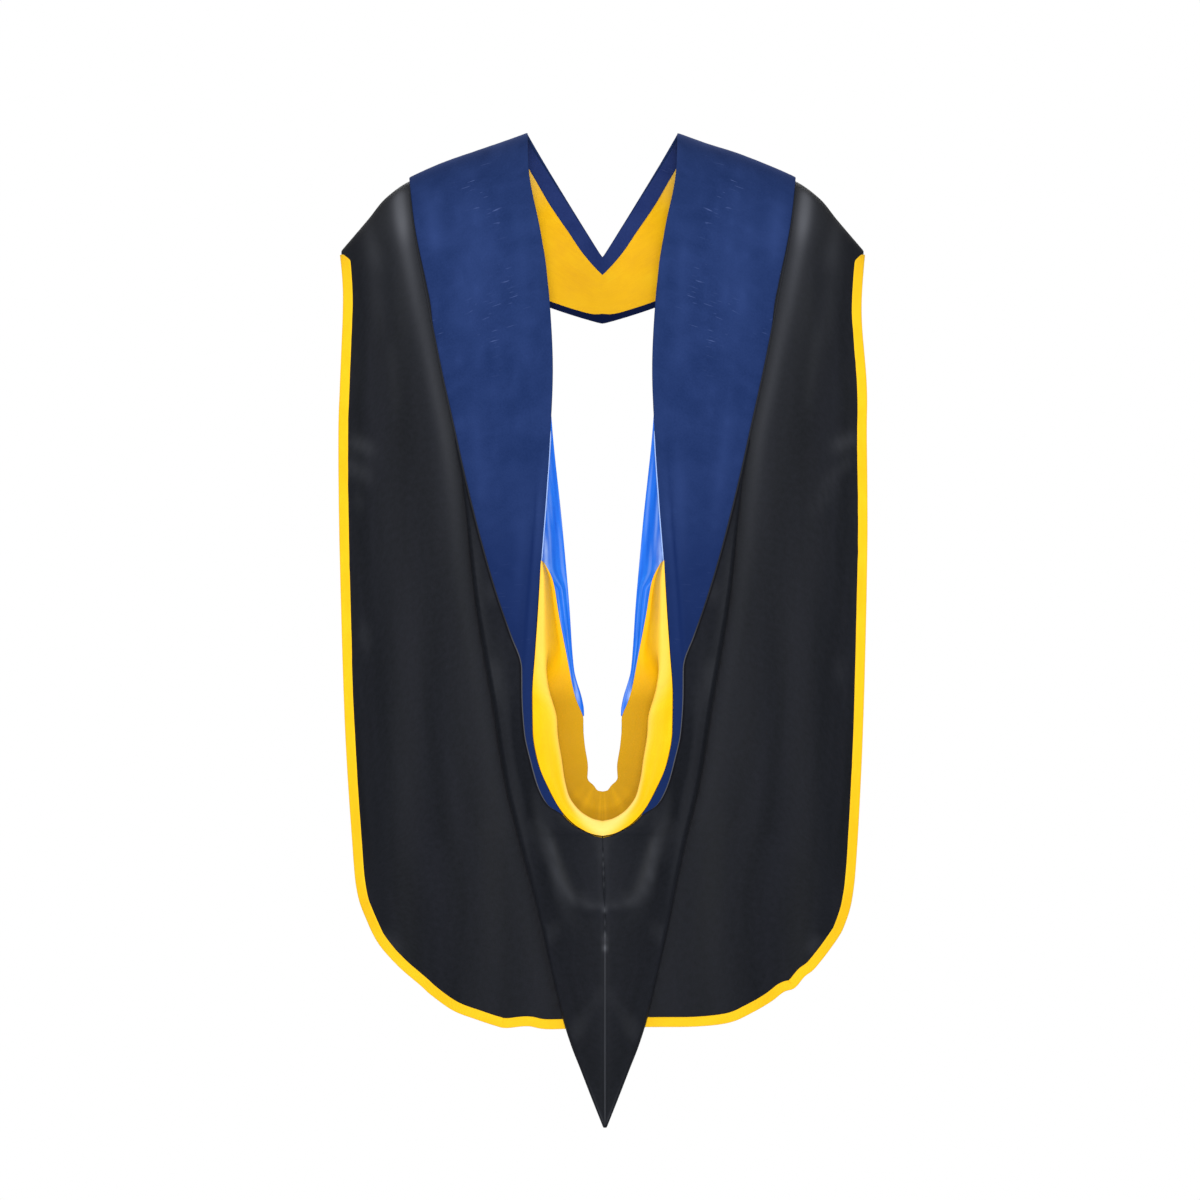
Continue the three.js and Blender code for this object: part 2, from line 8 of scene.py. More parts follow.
import bpy
import numpy as np
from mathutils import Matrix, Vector


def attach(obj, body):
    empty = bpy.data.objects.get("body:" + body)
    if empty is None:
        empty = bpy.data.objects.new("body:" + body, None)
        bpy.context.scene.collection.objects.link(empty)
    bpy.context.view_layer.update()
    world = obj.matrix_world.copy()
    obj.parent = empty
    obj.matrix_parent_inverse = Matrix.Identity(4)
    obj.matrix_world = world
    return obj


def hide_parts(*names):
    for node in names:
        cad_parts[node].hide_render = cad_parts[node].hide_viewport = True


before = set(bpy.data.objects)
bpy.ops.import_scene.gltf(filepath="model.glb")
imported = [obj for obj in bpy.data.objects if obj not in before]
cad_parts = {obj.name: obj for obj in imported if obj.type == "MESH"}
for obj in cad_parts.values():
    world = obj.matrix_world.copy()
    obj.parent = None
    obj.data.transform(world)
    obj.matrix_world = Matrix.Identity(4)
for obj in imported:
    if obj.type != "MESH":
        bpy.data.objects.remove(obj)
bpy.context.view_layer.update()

# %% [markdown]
# The real hood is cut from cloth, and what we know of it is its outline. So each outline is a short table
# of places: a drop below the neck points and a half width from the centre line, in millimetres. A drawn
# curve could hold the same, but a table can be read and corrected like a pattern. A smooth function goes
# through the places and never swings past them.

# %% Tables and smooth functions through them
MM = 0.001


def table(columns, rows):
    """Named columns from rows of numbers."""
    return {name: np.array(column, float) for name, column in zip(columns.split(), zip(*rows))}


def through(at, value):
    """A smooth function through a table's places that never swings past them."""
    slope = np.diff(value) / np.diff(at)
    product = slope[:-1] * slope[1:]
    middle = np.where(product > 0, 2 * product / np.where(product > 0, slope[:-1] + slope[1:], 1), 0)
    tangent = np.concatenate([slope[:1], middle, slope[-1:]])

    def smooth(x):
        x = np.asarray(x, float)
        i = np.clip(np.searchsorted(at, x, side="right") - 1, 0, len(slope) - 1)
        width = at[i + 1] - at[i]
        t = (x - at[i]) / width
        rise = value[i + 1] - value[i]
        a = width * tangent[i] - rise
        b = rise - width * tangent[i + 1]
        inside = value[i] + rise * t + t * (1 - t) * (a * (1 - t) + b * t)
        before = value[0] + slope[0] * (x - at[0])
        after = value[-1] + slope[-1] * (x - at[-1])
        return np.where(x < at[0], before, np.where(x > at[-1], after, inside))

    return smooth


def mix(a, b, t):
    return a + (b - a) * t


def soft_step(low, high, x):
    """0 below low, 1 above high, and a smooth rise between."""
    t = np.clip((np.asarray(x, float) - low) / (high - low), 0, 1)
    return t * t * (3 - 2 * t)


def soft_line(x, at, width):
    """1 at one place, and less and less to both sides of it."""
    return np.exp(-(((x - at) / width) ** 2))


def ease(t):
    """Quarter of a turn: slow at the shoulder ridge, where the cloth lies level."""
    return 1 - np.cos(np.asarray(t, float) * math.pi / 2)


print("a soft step at its middle:", float(soft_step(0, 1, 0.5)))

# %% [markdown]
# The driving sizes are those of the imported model. The back is 1120 mm long from the neck points to the
# tip of the tail, and everything else follows the photograph at that scale.

# %% Outlines of the hood
BACK_LENGTH = 1120
NECK_HALF = 84.5
SHOULDER_HALF = 218.6
SHOULDER_DROP = 54.8
NECK_DROP = 4.4
OUTER_HALF = 295
V_TIP_DROP = 137
FRONT_LOW_DROP = 213
SLIT_FOOT = 741
RIM_FOOT = 791
SEAM_FOOT = 764
SHELL_TOP = 346
FOLD_TOP = 345
TAIL_LEAN = 2.8
CENTRE_GAP = 0.2
RIDGE_SLOPE = (SHOULDER_DROP - NECK_DROP) / (SHOULDER_HALF - NECK_HALF)

RIDGE = table("half drop", [
    (0, NECK_DROP - RIDGE_SLOPE * NECK_HALF), (NECK_HALF, NECK_DROP), (SHOULDER_HALF, SHOULDER_DROP),
    (245.6, 74.6), (264.2, 97.4), (295.2, 133.6),
])
RIM = table("drop half", [
    (0, NECK_HALF), (42, 83), (115, 70), (188, 59.3), (267, 55.5), (346, 58.8), (434, 64.8), (526, 72.1),
    (585, 76.1), (631, 79.1), (673, 78.6), (703, 74.1), (730, 64.3), (752, 53.2), (772, 39.4), (784, 22.5),
    (RIM_FOOT, 0.2),
])
SEAM = table("drop half", [
    (53, 218.6), (109, 211.8), (182, 197.8), (267, 180.9), (329, 167.1), (391, 153.2), (464, 134.7),
    (521, 117.8), (567, 101.6), (594, 91.2), (602, 89.9), (633, 89.6), (673, 87), (710, 79),
    (730, 73.5), (748, 65.8), (757, 59.5), (SEAM_FOOT, 49),
])
FOLD = table("drop half", [
    (339, 165), (413, 155.2), (521, 144.2), (585, 134.3), (640, 124.7), (729, 110.4), (799, 93.5),
    (860, 78.9), (928, 63.7), (1001, 46.2), (1029, 37.2), (1050, 28.9), (1084, 15.7), (1118, 2.2),
])
NECKLINE = table("drop half", [
    (0, NECK_HALF), (64, 82.5), (121, 74.4), (188, 65), (267, 60.5), (332, 56.4), (442, 45.1), (532, 37.2),
    (603, 32.1), (639, 22.5), (649, 20.8), (690, 19.7), (713, 16.3), (726, 16.9), (SLIT_FOOT, 4.5),
])
STAND_OFF = table("drop rim fold", [
    (0, 4.2, 4.2), (100, 4.6, 4.2), (200, 8, 4.2), (300, 14, 4.8), (345, 17, 6), (420, 24, 9), (520, 31, 13),
    (620, 38, 15), (700, 43, 15), (791, 45, 14), (900, 36, 12.5), (1000, 24, 10), (1080, 12, 7),
    (1118, 5.2, 4.4),
])
CHEVRON = table("drop half", [
    (250, 80), (300, 82), (400, 85), (440, 85), (465, 81), (480, 70), (492, 61.2), (504, 56.7), (517, 53.7),
    (544, 49.9), (571, 45), (603, 38.2), (633, 32.3), (650, 24.5), (657, 22.8),
])

ridge_drop = through(RIDGE["half"], RIDGE["drop"])
rim_half = through(RIM["drop"], RIM["half"])
seam_half = through(SEAM["drop"], SEAM["half"])
fold_half = through(FOLD["drop"], FOLD["half"])
neckline_half = through(NECKLINE["drop"], NECKLINE["half"])
rim_stand_off = through(STAND_OFF["drop"], STAND_OFF["rim"])
fold_stand_off = through(STAND_OFF["drop"], STAND_OFF["fold"])
chevron_half = through(CHEVRON["drop"], CHEVRON["half"])
print("velvet width at the shoulder:", round(SHOULDER_HALF - NECK_HALF), "mm")

# %% [markdown]
# Cloth on a wearer follows one form: over the shoulder in an arch, then straight down the back. Draping
# it by simulation would move the outline away from the photograph. So the form is a formula, and each
# cloth lies on it at its own height, which also keeps the layers from cutting through each other.

# %% The form under the cloth
BACK_DEPTH = 100
BACK_DEPTH_LOSS = 55
FRONT_DEPTH = 92
FRONT_DEPTH_LOSS = 60
ARCH_HEIGHT = 150
HANG_LENGTH = 850
HANG_OUT = 5
HANG_IN = 20
FOLD_DEPTH = 6
FOLD_PITCH = 92
FOLD_FIRST = 150
FOLD_START = 250
RIM_REACH = 26
REACH_LENGTH = 12
BACK = -1
FRONT = 1


def below_ridge(half, drop):
    return np.maximum(0, drop - ridge_drop(half))


def on_form(half, below, height, facing=BACK):
    """Places in millimetres on the form, raised along its normal."""
    half, below, height = np.broadcast_arrays(*(np.asarray(a, float) for a in (half, below, height)))
    spread = (half / OUTER_HALF) ** 2
    back = BACK_DEPTH - BACK_DEPTH_LOSS * spread
    depth = back if facing == BACK else FRONT_DEPTH - FRONT_DEPTH_LOSS * spread
    cos = np.clip(1 - below / ARCH_HEIGHT, 0, 1)
    sin = np.sqrt(1 - cos * cos)
    hang = np.clip((below - ARCH_HEIGHT) / HANG_LENGTH, 0, 1)
    fold_share = np.clip((below - FOLD_START) / (HANG_LENGTH - FOLD_START), 0, 1)
    waves = fold_share * np.cos(2 * math.pi * (half - FOLD_FIRST) / FOLD_PITCH)
    hanging = hang * (HANG_OUT - HANG_IN * spread) + FOLD_DEPTH * waves * spread
    out = depth * sin + (hanging if facing == BACK else 0)
    size = np.hypot(ARCH_HEIGHT * sin, depth * cos)
    normal_y = ARCH_HEIGHT * sin / size
    normal_z = depth * cos / size
    z = -(ridge_drop(half) + below) + normal_z * height
    return np.stack([half, facing * (out + normal_y * height), z], axis=-1)


def bag_height(half, drop):
    """Height of the bag's outer wall above the form."""
    past_foot = -RIM_REACH * (1 - np.exp(-np.maximum(0, drop - RIM_FOOT) / REACH_LENGTH))
    inner = np.where(drop < RIM_FOOT, rim_half(drop), past_foot)
    outer = np.where(drop < FOLD_TOP, seam_half(drop), fold_half(drop))
    share = np.clip((outer - half) / np.maximum(outer - inner, 0.1), 0, 1)
    return mix(fold_stand_off(drop), rim_stand_off(drop), np.sin(share * math.pi / 2))


print("form depth at the centre:", BACK_DEPTH + FRONT_DEPTH, "mm")

# %% [markdown]
# A cloth is a grid of places along its middle. Blender's Solidify gives the grid its thickness and
# Subdivision Surface rounds its cut edges, so that they catch the light as folded cloth does. The grid's
# own rows and columns become a UV map in metres, so that a weave keeps its real size over the whole
# cloth. A second map holds two shares at each place: how much painted highlight its colour takes where
# light catches it, and how much painted shade where shade falls, in hollows, folds and corners.

# %% Make a cloth from a grid of places
BLACK_THICKNESS = 1.5
LINING_THICKNESS = 1.5
VELVET_THICKNESS = 2
PIPING_THICKNESS = 2.6
ROUNDING = 1


def grid_mesh(name, grid, tone=(0, 0), closed_across=False):
    """A mesh of quads through a grid of places in millimetres, with its two maps."""
    rows, columns = grid.shape[:2]
    index = np.arange(rows * columns).reshape(rows, columns)
    wide = np.concatenate([index, index[:, :1]], axis=1) if closed_across else index
    faces = np.stack([wide[:-1, :-1], wide[:-1, 1:], wide[1:, 1:], wide[1:, :-1]], axis=-1).reshape(-1, 4)
    mesh = bpy.data.meshes.new(name)
    mesh.from_pydata((grid.reshape(-1, 3) * MM).tolist(), [], faces.tolist())
    run = np.linalg.norm(np.diff(grid, axis=0), axis=2).mean(1)
    span = np.linalg.norm(np.diff(grid, axis=1), axis=2).cumsum(1)
    middle = span[:, -1:] / 2
    u = (np.concatenate([np.zeros((rows, 1)), span], axis=1) - middle) * MM
    v = np.broadcast_to(np.concatenate([[0], run.cumsum()])[:, None] * MM, u.shape)
    pale, deep = tone
    shade = np.broadcast_to(pale, u.shape), np.broadcast_to(deep, u.shape)
    loops = np.zeros(len(mesh.loops), int)
    mesh.loops.foreach_get("vertex_index", loops)
    for layer_name, pair in (("cloth", (u, v)), ("tone", shade)):
        place = np.stack(pair, axis=-1).reshape(-1, 2)
        layer = mesh.uv_layers.new(name=layer_name)
        layer.data.foreach_set("uv", place[loops].astype(np.float32).ravel())
    mesh.polygons.foreach_set("use_smooth", [True] * len(mesh.polygons))
    return mesh


made = {}


def add_piece(name, mesh, slot):
    """A new object that rides on the frame and takes its finish from a slot."""
    piece = bpy.data.objects.new(name, mesh)
    bpy.context.scene.collection.objects.link(piece)
    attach(piece, "root")
    made[piece] = slot
    return piece


def cloth(name, grid, thickness, slot, nodes, tone=(0, 0)):
    """A sheet of cloth of that thickness, standing for its CAD nodes."""
    piece = add_piece(name, grid_mesh(name, grid, tone), slot)
    wall = piece.modifiers.new("thickness", "SOLIDIFY")
    wall.thickness = thickness * MM
    wall.offset = 0
    soft = piece.modifiers.new("rounded edges", "SUBSURF")
    soft.levels = ROUNDING
    soft.render_levels = ROUNDING
    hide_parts(*nodes)
    across = np.linalg.norm(np.diff(grid, axis=1), axis=2).sum(1).max()
    along = np.linalg.norm(np.diff(grid, axis=0), axis=2).sum(0).max()
    print(name, "cloth, mm:", round(across), "by", round(along))
    return piece


def mirror(grid, side):
    return grid * np.array([side, 1, 1])


def leaning(grid):
    """The tail hangs a little to the wearer's right of the centre line."""
    lean = TAIL_LEAN * soft_step(780, 900, -grid[..., 2])
    return grid + np.stack([lean, np.zeros_like(lean), np.zeros_like(lean)], axis=-1)


def rows_from(steps):
    return np.linspace(0, 1, steps + 1)


SIDES = {"left": -1, "right": 1}
print("cloth walls, mm:", BLACK_THICKNESS, LINING_THICKNESS, VELVET_THICKNESS, PIPING_THICKNESS)

# %% [markdown]
# No real cloth is as even as a formula. Crumples are sums of a few long waves with seeded directions,
# soft enough to look pressed. Creases are single soft ridges along a line, listed in tables as a maker
# would mark them on a pattern. Both raise the cloth itself, so they show in the mesh and not only in its
# material.

# %% Crumples and creases
CRUMPLE_SEED = 11


def crumple(u, v, size, seed, waves=7):
    """A soft uneven height between about -1 and 1, at places u and v in millimetres."""
    draw = np.random.default_rng(seed)
    total = 0
    for _ in range(waves):
        angle = draw.uniform(0, math.pi)
        pitch = size * draw.uniform(0.6, 1.6)
        phase = draw.uniform(0, 2 * math.pi)
        total = total + np.sin(2 * math.pi * (u * math.cos(angle) + v * math.sin(angle)) / pitch + phase)
    return total / waves ** 0.5 / 1.4


def creases(marks, half, drop):
    """Height of soft ridges between two places each, at half widths and drops in millimetres."""
    height = np.zeros(np.broadcast(half, drop).shape)
    for i in range(len(marks["top_drop"])):
        start = np.array([marks["top_half"][i], marks["top_drop"][i]])
        run = np.array([marks["foot_half"][i], marks["foot_drop"][i]]) - start
        length = np.hypot(*run)
        along = ((half - start[0]) * run[0] + (drop - start[1]) * run[1]) / length
        aside = ((half - start[0]) * run[1] - (drop - start[1]) * run[0]) / length
        fade = soft_step(-0.1, 0.25, along / length) * (1 - soft_step(0.6, 1.1, along / length))
        height = height + marks["height"][i] * fade * np.exp(-((aside / marks["width"][i]) ** 2))
    return height


along = np.linspace(0, 1000, 201)
print("highest crumple along a metre:", round(float(crumple(along, 0, 120, CRUMPLE_SEED).max()), 2))

# %% [markdown]
# The two cape panels are the body of the hood: one black cloth on each side, from the front lower edge
# over the shoulder and down to a round hem, joined at the centre back. A flat grid would bunch at the
# round corner, so the rows are blended towards the hem as they near it. Each panel's outer edge is its
# own, with the small waves that its binding has in the photograph.

# %% The piped outer edges
PIPING_WIDTH = 11.5
PIPING_START = 7
PIPING_START_WIDTH = 4
IN_BINDING = 3
CORNER_ROW = 9
EDGE = {
    "left": table("half drop", [
        (296, 137), (292.5, 188), (296, 284), (297.7, 344), (296.3, 471), (290.5, 665), (281.8, 803),
        (276.5, 855), (266, 886), (252, 913.5), (230, 938.5), (205, 960), (192, 971.5), (168, 988),
        (143, 997.5), (120, 1005), (108, 1007.3), (84, 1005.2), (60, 1008.5), (CENTRE_GAP, 1006),
    ]),
    "right": table("half drop", [
        (296, 137), (292, 202), (297.9, 284), (298, 344), (298.6, 471), (294, 665), (287, 806),
        (281.5, 862), (272.5, 893), (262, 911.5), (240, 940), (228, 949.8), (219.5, 960), (214, 964.3),
        (204, 967.5), (190, 978), (170, 989.5), (144, 1001), (108, 1005.5), (60, 1006), (CENTRE_GAP, 1006),
    ]),
}


def spline(points, share):
    """Places on a smooth curve through points, at shares of its number of points."""
    last = len(points) - 1
    place = np.clip(np.asarray(share, float), 0, 1) * last
    i = np.minimum(place.astype(int), last - 1)
    t = (place - i)[..., None]
    before, start, end, after = (points[np.clip(i + step, 0, last)] for step in (-1, 0, 1, 2))
    leave = (end - before) / 2
    arrive = (after - start) / 2
    cubic = 2 * start - 2 * end + leave + arrive
    square = 3 * end - 3 * start - 2 * leave - arrive
    return ((cubic * t + square) * t + leave) * t + start


def edge_place(name, share, inset):
    """Half width and drop at a share of the outer edge, moved in from it."""
    points = np.stack([EDGE[name]["half"], EDGE[name]["drop"]], axis=1)
    step = 0.0005
    tangent = spline(points, share + step) - spline(points, share - step)
    tangent = tangent / np.linalg.norm(tangent, axis=-1, keepdims=True)
    place = spline(points, share)
    half = np.maximum(CENTRE_GAP, place[..., 0] - tangent[..., 1] * inset)
    return half, place[..., 1] + tangent[..., 0] * inset


def piping_width(name, share):
    points = np.stack([EDGE[name]["half"], EDGE[name]["drop"]], axis=1)
    run = spline(points, share)[..., 1] - points[0, 1]
    start = mix(PIPING_START_WIDTH, PIPING_WIDTH, np.clip(run / PIPING_START, 0, 1))
    return np.where(np.asarray(share) > 0.2, PIPING_WIDTH, start)


def cape_edge(name, share):
    """Where the black cloth ends inside its binding, as a half width and a distance below the ridge."""
    half, drop = edge_place(name, share, piping_width(name, share) - IN_BINDING)
    return half, below_ridge(half, drop)


for name in EDGE:
    print(name, "edge drops to", EDGE[name]["drop"].max(), "mm")

# %% [markdown]
# The black cloth is thin and hangs almost smooth, with a few long soft folds and short pulls at the outer
# edge. Each is a row in a table, so it can be moved or left out. The light the cloth catches beside a
# seam, its glints and the shade under the bag are painted into its colour, from tables too. They go into
# the second map, as a finish could not tell where a seam is.

# %% Soft creases and crumples of the black cloth
CAPE_MARKS = {
    "left": table("top_half top_drop foot_half foot_drop width height", [
        (214, 62, 196, 190, 9, 2.2), (236, 74, 232, 250, 14, 1.8), (262, 110, 262, 330, 12, 1.6),
        (200, 190, 172, 420, 13, 2), (252, 300, 262, 520, 22, 2), (289, 354, 248, 368, 7, 1.6),
        (290, 378, 254, 398, 7, 1.5), (281, 560, 262, 590, 8, 0.9), (226, 520, 236, 860, 30, 2.4),
        (178, 560, 186, 930, 24, 2.2), (136, 700, 132, 985, 18, 1.8),
    ]),
    "right": table("top_half top_drop foot_half foot_drop width height", [
        (214, 62, 198, 200, 9, 2.4), (240, 78, 236, 240, 14, 1.6), (264, 112, 258, 300, 12, 1.6),
        (202, 190, 170, 400, 13, 2), (250, 320, 258, 540, 22, 2), (289, 350, 250, 366, 7, 1.6),
        (288, 372, 246, 412, 7, 1.3), (280, 600, 262, 622, 8, 0.9), (230, 500, 240, 850, 30, 2.2),
        (180, 540, 190, 930, 24, 2.2), (134, 690, 130, 985, 18, 1.8),
    ]),
}
CAPE_SEEDS = {"left": 11, "right": 23}
WIDE_HEIGHT = 1.1
WIDE_SIZE = 120
WIDE_STRETCH = 0.45
FINE_HEIGHT = 0.34
FINE_SIZE = 26
FREE_WIDTH = 26
TAIL_END = 1100


def cape_relief(name, half, below):
    """How far the cape's cloth stands off its place, in millimetres."""
    drop = below + ridge_drop(half)
    covered = np.where(drop < FOLD_TOP, seam_half(drop), fold_half(np.minimum(drop, TAIL_END)))
    free = soft_step(0, FREE_WIDTH, half - covered) * soft_step(20, 90, below)
    wide = WIDE_HEIGHT * crumple(half, drop * WIDE_STRETCH, WIDE_SIZE, CAPE_SEEDS[name])
    fine = FINE_HEIGHT * crumple(half, drop, FINE_SIZE, CAPE_SEEDS[name] + 1) * soft_step(225, 285, half)
    marks = creases(CAPE_MARKS[name], half, drop) * soft_step(0, 14, half - covered)
    return free * (wide + fine) + marks


SEAM_LIGHT = table("drop near wide", [
    (50, 0.9, 0.2), (95, 0.95, 0.22), (135, 0.36, 0.12), (240, 0.16, 0.08), (330, 0.12, 0.07),
    (430, 0.07, 0.06), (600, 0.03, 0.02), (1010, 0, 0),
])
SEAM_LIGHT_AT = 13
SEAM_LIGHT_WIDTH = 7
WIDE_LIGHT_WIDTH = 30
SEAM_SHADE = 0.8
SEAM_SHADE_WIDTH = 2.2
BAG_SHADE = 0.08
BAG_SHADE_AT = 3
BAG_SHADE_WIDTH = 4
CAPE_GLINTS = {
    "left": table("top_half top_drop foot_half foot_drop width pale", [
        (287, 346, 252, 360, 6, 0.25), (290, 372, 256, 390, 7, 0.2), (280, 405, 268, 425, 5, 0.1),
        (270, 92, 250, 160, 9, 0.14), (238, 230, 230, 330, 7, 0.06), (262, 120, 248, 230, 11, 0.07),
        (274, 556, 262, 580, 7, 0.12), (250, 900, 225, 925, 8, 0.1),
    ]),
    "right": table("top_half top_drop foot_half foot_drop width pale", [
        (288, 342, 254, 356, 6, 0.25), (284, 362, 240, 404, 3.5, 0.16), (272, 396, 228, 430, 3, 0.12),
        (268, 92, 252, 160, 9, 0.14), (244, 210, 228, 330, 7, 0.07), (266, 120, 250, 240, 11, 0.07),
        (272, 596, 262, 616, 7, 0.1), (246, 905, 230, 925, 8, 0.1),
    ]),
}


def cape_tone(name, half, below):
    """Painted light beside the velvet's seam and in glints; painted shade at the seam and under the bag."""
    drop = below + ridge_drop(half)
    beside = half - np.where(drop < FOLD_TOP, seam_half(drop), fold_half(np.minimum(drop, TAIL_END)))
    near = soft_line(beside, SEAM_LIGHT_AT, SEAM_LIGHT_WIDTH)
    wide = soft_line(beside, SEAM_LIGHT_AT, WIDE_LIGHT_WIDTH)
    pale = near * through(SEAM_LIGHT["drop"], SEAM_LIGHT["near"])(drop)
    pale = pale + wide * through(SEAM_LIGHT["drop"], SEAM_LIGHT["wide"])(drop)
    marks = dict(CAPE_GLINTS[name], height=CAPE_GLINTS[name]["pale"])
    pale = pale * soft_step(0, 12, below) + creases(marks, half, drop)
    deep = SEAM_SHADE * soft_line(beside, 0, SEAM_SHADE_WIDTH) * soft_step(150, 330, drop)
    deep = deep + BAG_SHADE * soft_line(beside, BAG_SHADE_AT, BAG_SHADE_WIDTH) * soft_step(360, 520, drop)
    return np.clip(pale, 0, 1), np.clip(deep, 0, 1)


print("creases marked on the left cape:", len(CAPE_MARKS["left"]["height"]))

# %% [markdown]
# Each panel has two runs of rows. The front run goes up from the V to the ridge of the shoulder, and the
# back run goes on from there, down to the hem. One grid for both keeps the cloth whole over the shoulder.
# The piping follows the same edge and the same folds, moved in by its own width, so it never leaves the
# cloth.

# %% Make the cape panels and their piping
CAPE_ACROSS = 70
CAPE_FRONT = 26
CAPE_ARCH = 22
CAPE_HANGING = 88
NEAR_CORNER = 0.995
UNDER_VELVET = 1.5
FRONT_INNER_HALF = 66
FRONT_INNER_DROP = 186
FRONT_OUTER_HALF = 76
FRONT_OUTER_DROP = 194
PIPING_RELIEF = 0.25
PIPING_ROWS = 320
PIPING_ACROSS = 6


def cape_rows(name):
    """Half widths and distances below the ridge of the back's rows, then those of the front's."""
    u = np.linspace(0, 1, CAPE_ACROSS + 1)
    corner = CORNER_ROW / (len(EDGE[name]["half"]) - 1)
    shares = np.linspace(0, corner, 600)
    half_at, below_at = cape_edge(name, shares)
    arch_share = np.interp(ARCH_HEIGHT, below_at, shares)
    rows = []
    for w in rows_from(CAPE_ARCH):
        below = ARCH_HEIGHT * ease(w)
        inner = neckline_half(NECK_DROP + below) + 1
        outer = np.interp(below, below_at, half_at)
        rows.append((mix(inner, outer, u), np.full_like(u, below)))
    hem_half, hem_below = cape_edge(name, mix(1, corner, u))
    arch_foot = ARCH_HEIGHT + ridge_drop(neckline_half(ARCH_HEIGHT))
    for w in rows_from(CAPE_HANGING)[1:]:
        drop = mix(arch_foot, ridge_drop(0) + hem_below[0], w)
        inner = neckline_half(drop) + 1 if drop < SLIT_FOOT else CENTRE_GAP
        inner_below = hem_below[0] if w == 1 else below_ridge(inner, drop)
        outer, outer_below = cape_edge(name, mix(arch_share, corner, w))
        bend = w ** 3
        half = mix(inner, outer, u) + bend * (hem_half - mix(hem_half[0], hem_half[-1], u))
        below = mix(inner_below, outer_below, u) + bend * (hem_below - mix(hem_below[0], hem_below[-1], u))
        rows.append((half, below))
    return [np.array(part) for part in zip(*rows)]


def front_rows(inner, outer, steps):
    """Half widths and distances below the ridge of rows between two front edges, from the centre up."""
    u = np.linspace(0, 1, steps + 1)
    w = np.concatenate([[1, NEAR_CORNER], rows_from(CAPE_FRONT)[1:-1][::-1]])
    (inner_half, inner_below), (outer_half, outer_below) = inner(ease(w)), outer(ease(w))
    half = mix(inner_half[:, None], outer_half[:, None], u)
    return half, mix(inner_below[:, None], outer_below[:, None], u)


def straight_edge(half_from, half_to, drop_from, drop_to):
    """An edge that is straight in the front view."""
    def edge(t):
        half = mix(half_from, half_to, t)
        return half, below_ridge(half, mix(drop_from, drop_to, t))
    return edge


def cape_panel(name):
    half, below = cape_rows(name)
    back = on_form(half, below, BLACK_THICKNESS / 2 + cape_relief(name, half, below))
    start = half[0, -1]
    inner = straight_edge(NECK_HALF + UNDER_VELVET, FRONT_INNER_HALF, NECK_DROP, FRONT_INNER_DROP)
    outer = straight_edge(start, FRONT_OUTER_HALF, ridge_drop(start), FRONT_OUTER_DROP)
    front_half, front_below = front_rows(inner, outer, CAPE_ACROSS)
    front = on_form(front_half, front_below, BLACK_THICKNESS / 2, FRONT)
    grid = mirror(np.concatenate([front, back]), SIDES[name])
    plain = np.zeros(front_half.shape)
    tone = [np.concatenate([plain, part]) for part in cape_tone(name, half, below)]
    return cloth(f"{name}_cape", grid, BLACK_THICKNESS, "black_cloth", [f"{name}_cape_panel"], tone)


def edge_band(name):
    share = np.linspace(0, 1, PIPING_ROWS + 1)[:, None]
    inset = piping_width(name, share) * np.linspace(1, 0, PIPING_ACROSS + 1)
    half, drop = edge_place(name, np.broadcast_to(share, inset.shape), inset)
    below = below_ridge(half, drop)
    height = BLACK_THICKNESS / 2 + cape_relief(name, half, below)
    height = height + PIPING_RELIEF * crumple(share * 1000, inset, 40, CAPE_SEEDS[name] + 2)
    grid = mirror(on_form(half, below, height), SIDES[name])
    return cloth(f"{name}_piping", grid, PIPING_THICKNESS, "yellow_piping", [f"{name}_edge_piping"])


capes = {name: cape_panel(name) for name in SIDES}
pipings = {name: edge_band(name) for name in SIDES}
print("panels and bindings:", [piece.name for piece in (*capes.values(), *pipings.values())])

# %% [markdown]
# The velvet is one band on each side. It starts at the foot of the U, runs up the back, over the shoulder
# and down to the V in front. It stands off with the bag it edges. A narrow sheet between two curves gives
# it that course. A soft crease beside the rim shows where its inner edge is turned under, with a painted
# dark line and a painted pale line along it.

# %% Make the velvet facing
VELVET_ACROSS = 34
VELVET_ROWS = table("rim seam", [
    (156, 206), (226, 262), (309, 329), (379, 391), (434, 442), (482, 486), (526, 526), (560, 567),
    (590, 596), (631, 633), (673, 673), (703, 710), (730, 738), (748, 753), (766.4, 767.8),
])
VELVET_HANGING = 96
OVER_CENTRE = 0.5
VELVET_BROAD = 0.35
VELVET_FINE = 0.12
VELVET_FRONT_RELIEF = 0.3
VELVET_MARKS = {
    "left": table("top_half top_drop foot_half foot_drop width height", [
        (79, 440, 90, 640, 6, 1.3), (150, 90, 138, 300, 30, 1.2), (110, 120, 96, 330, 22, 0.9),
    ]),
    "right": table("top_half top_drop foot_half foot_drop width height", [
        (84, 430, 96, 650, 6, 1.3), (156, 84, 150, 280, 30, 1.2), (118, 130, 96, 350, 22, 0.9),
    ]),
}


def v_edge(t):
    half = mix(NECK_HALF, CENTRE_GAP, t)
    return half, below_ridge(half, mix(NECK_DROP, V_TIP_DROP, t))


def front_seam(t):
    """The velvet's outer edge in front, a curve with one turn between shoulder and centre."""
    turn_half, turn_drop = 200, 160
    half = (1 - t) ** 2 * SHOULDER_HALF + 2 * t * (1 - t) * turn_half + t ** 2 * CENTRE_GAP
    drop = (1 - t) ** 2 * SHOULDER_DROP + 2 * t * (1 - t) * turn_drop + t ** 2 * FRONT_LOW_DROP
    return half, below_ridge(half, drop)


def velvet_relief(name, half, drop, seed):
    marks = creases(VELVET_MARKS[name], half, drop)
    broad = VELVET_BROAD * crumple(half, drop, 70, seed)
    return marks + broad + VELVET_FINE * crumple(half, drop, 18, seed + 1)


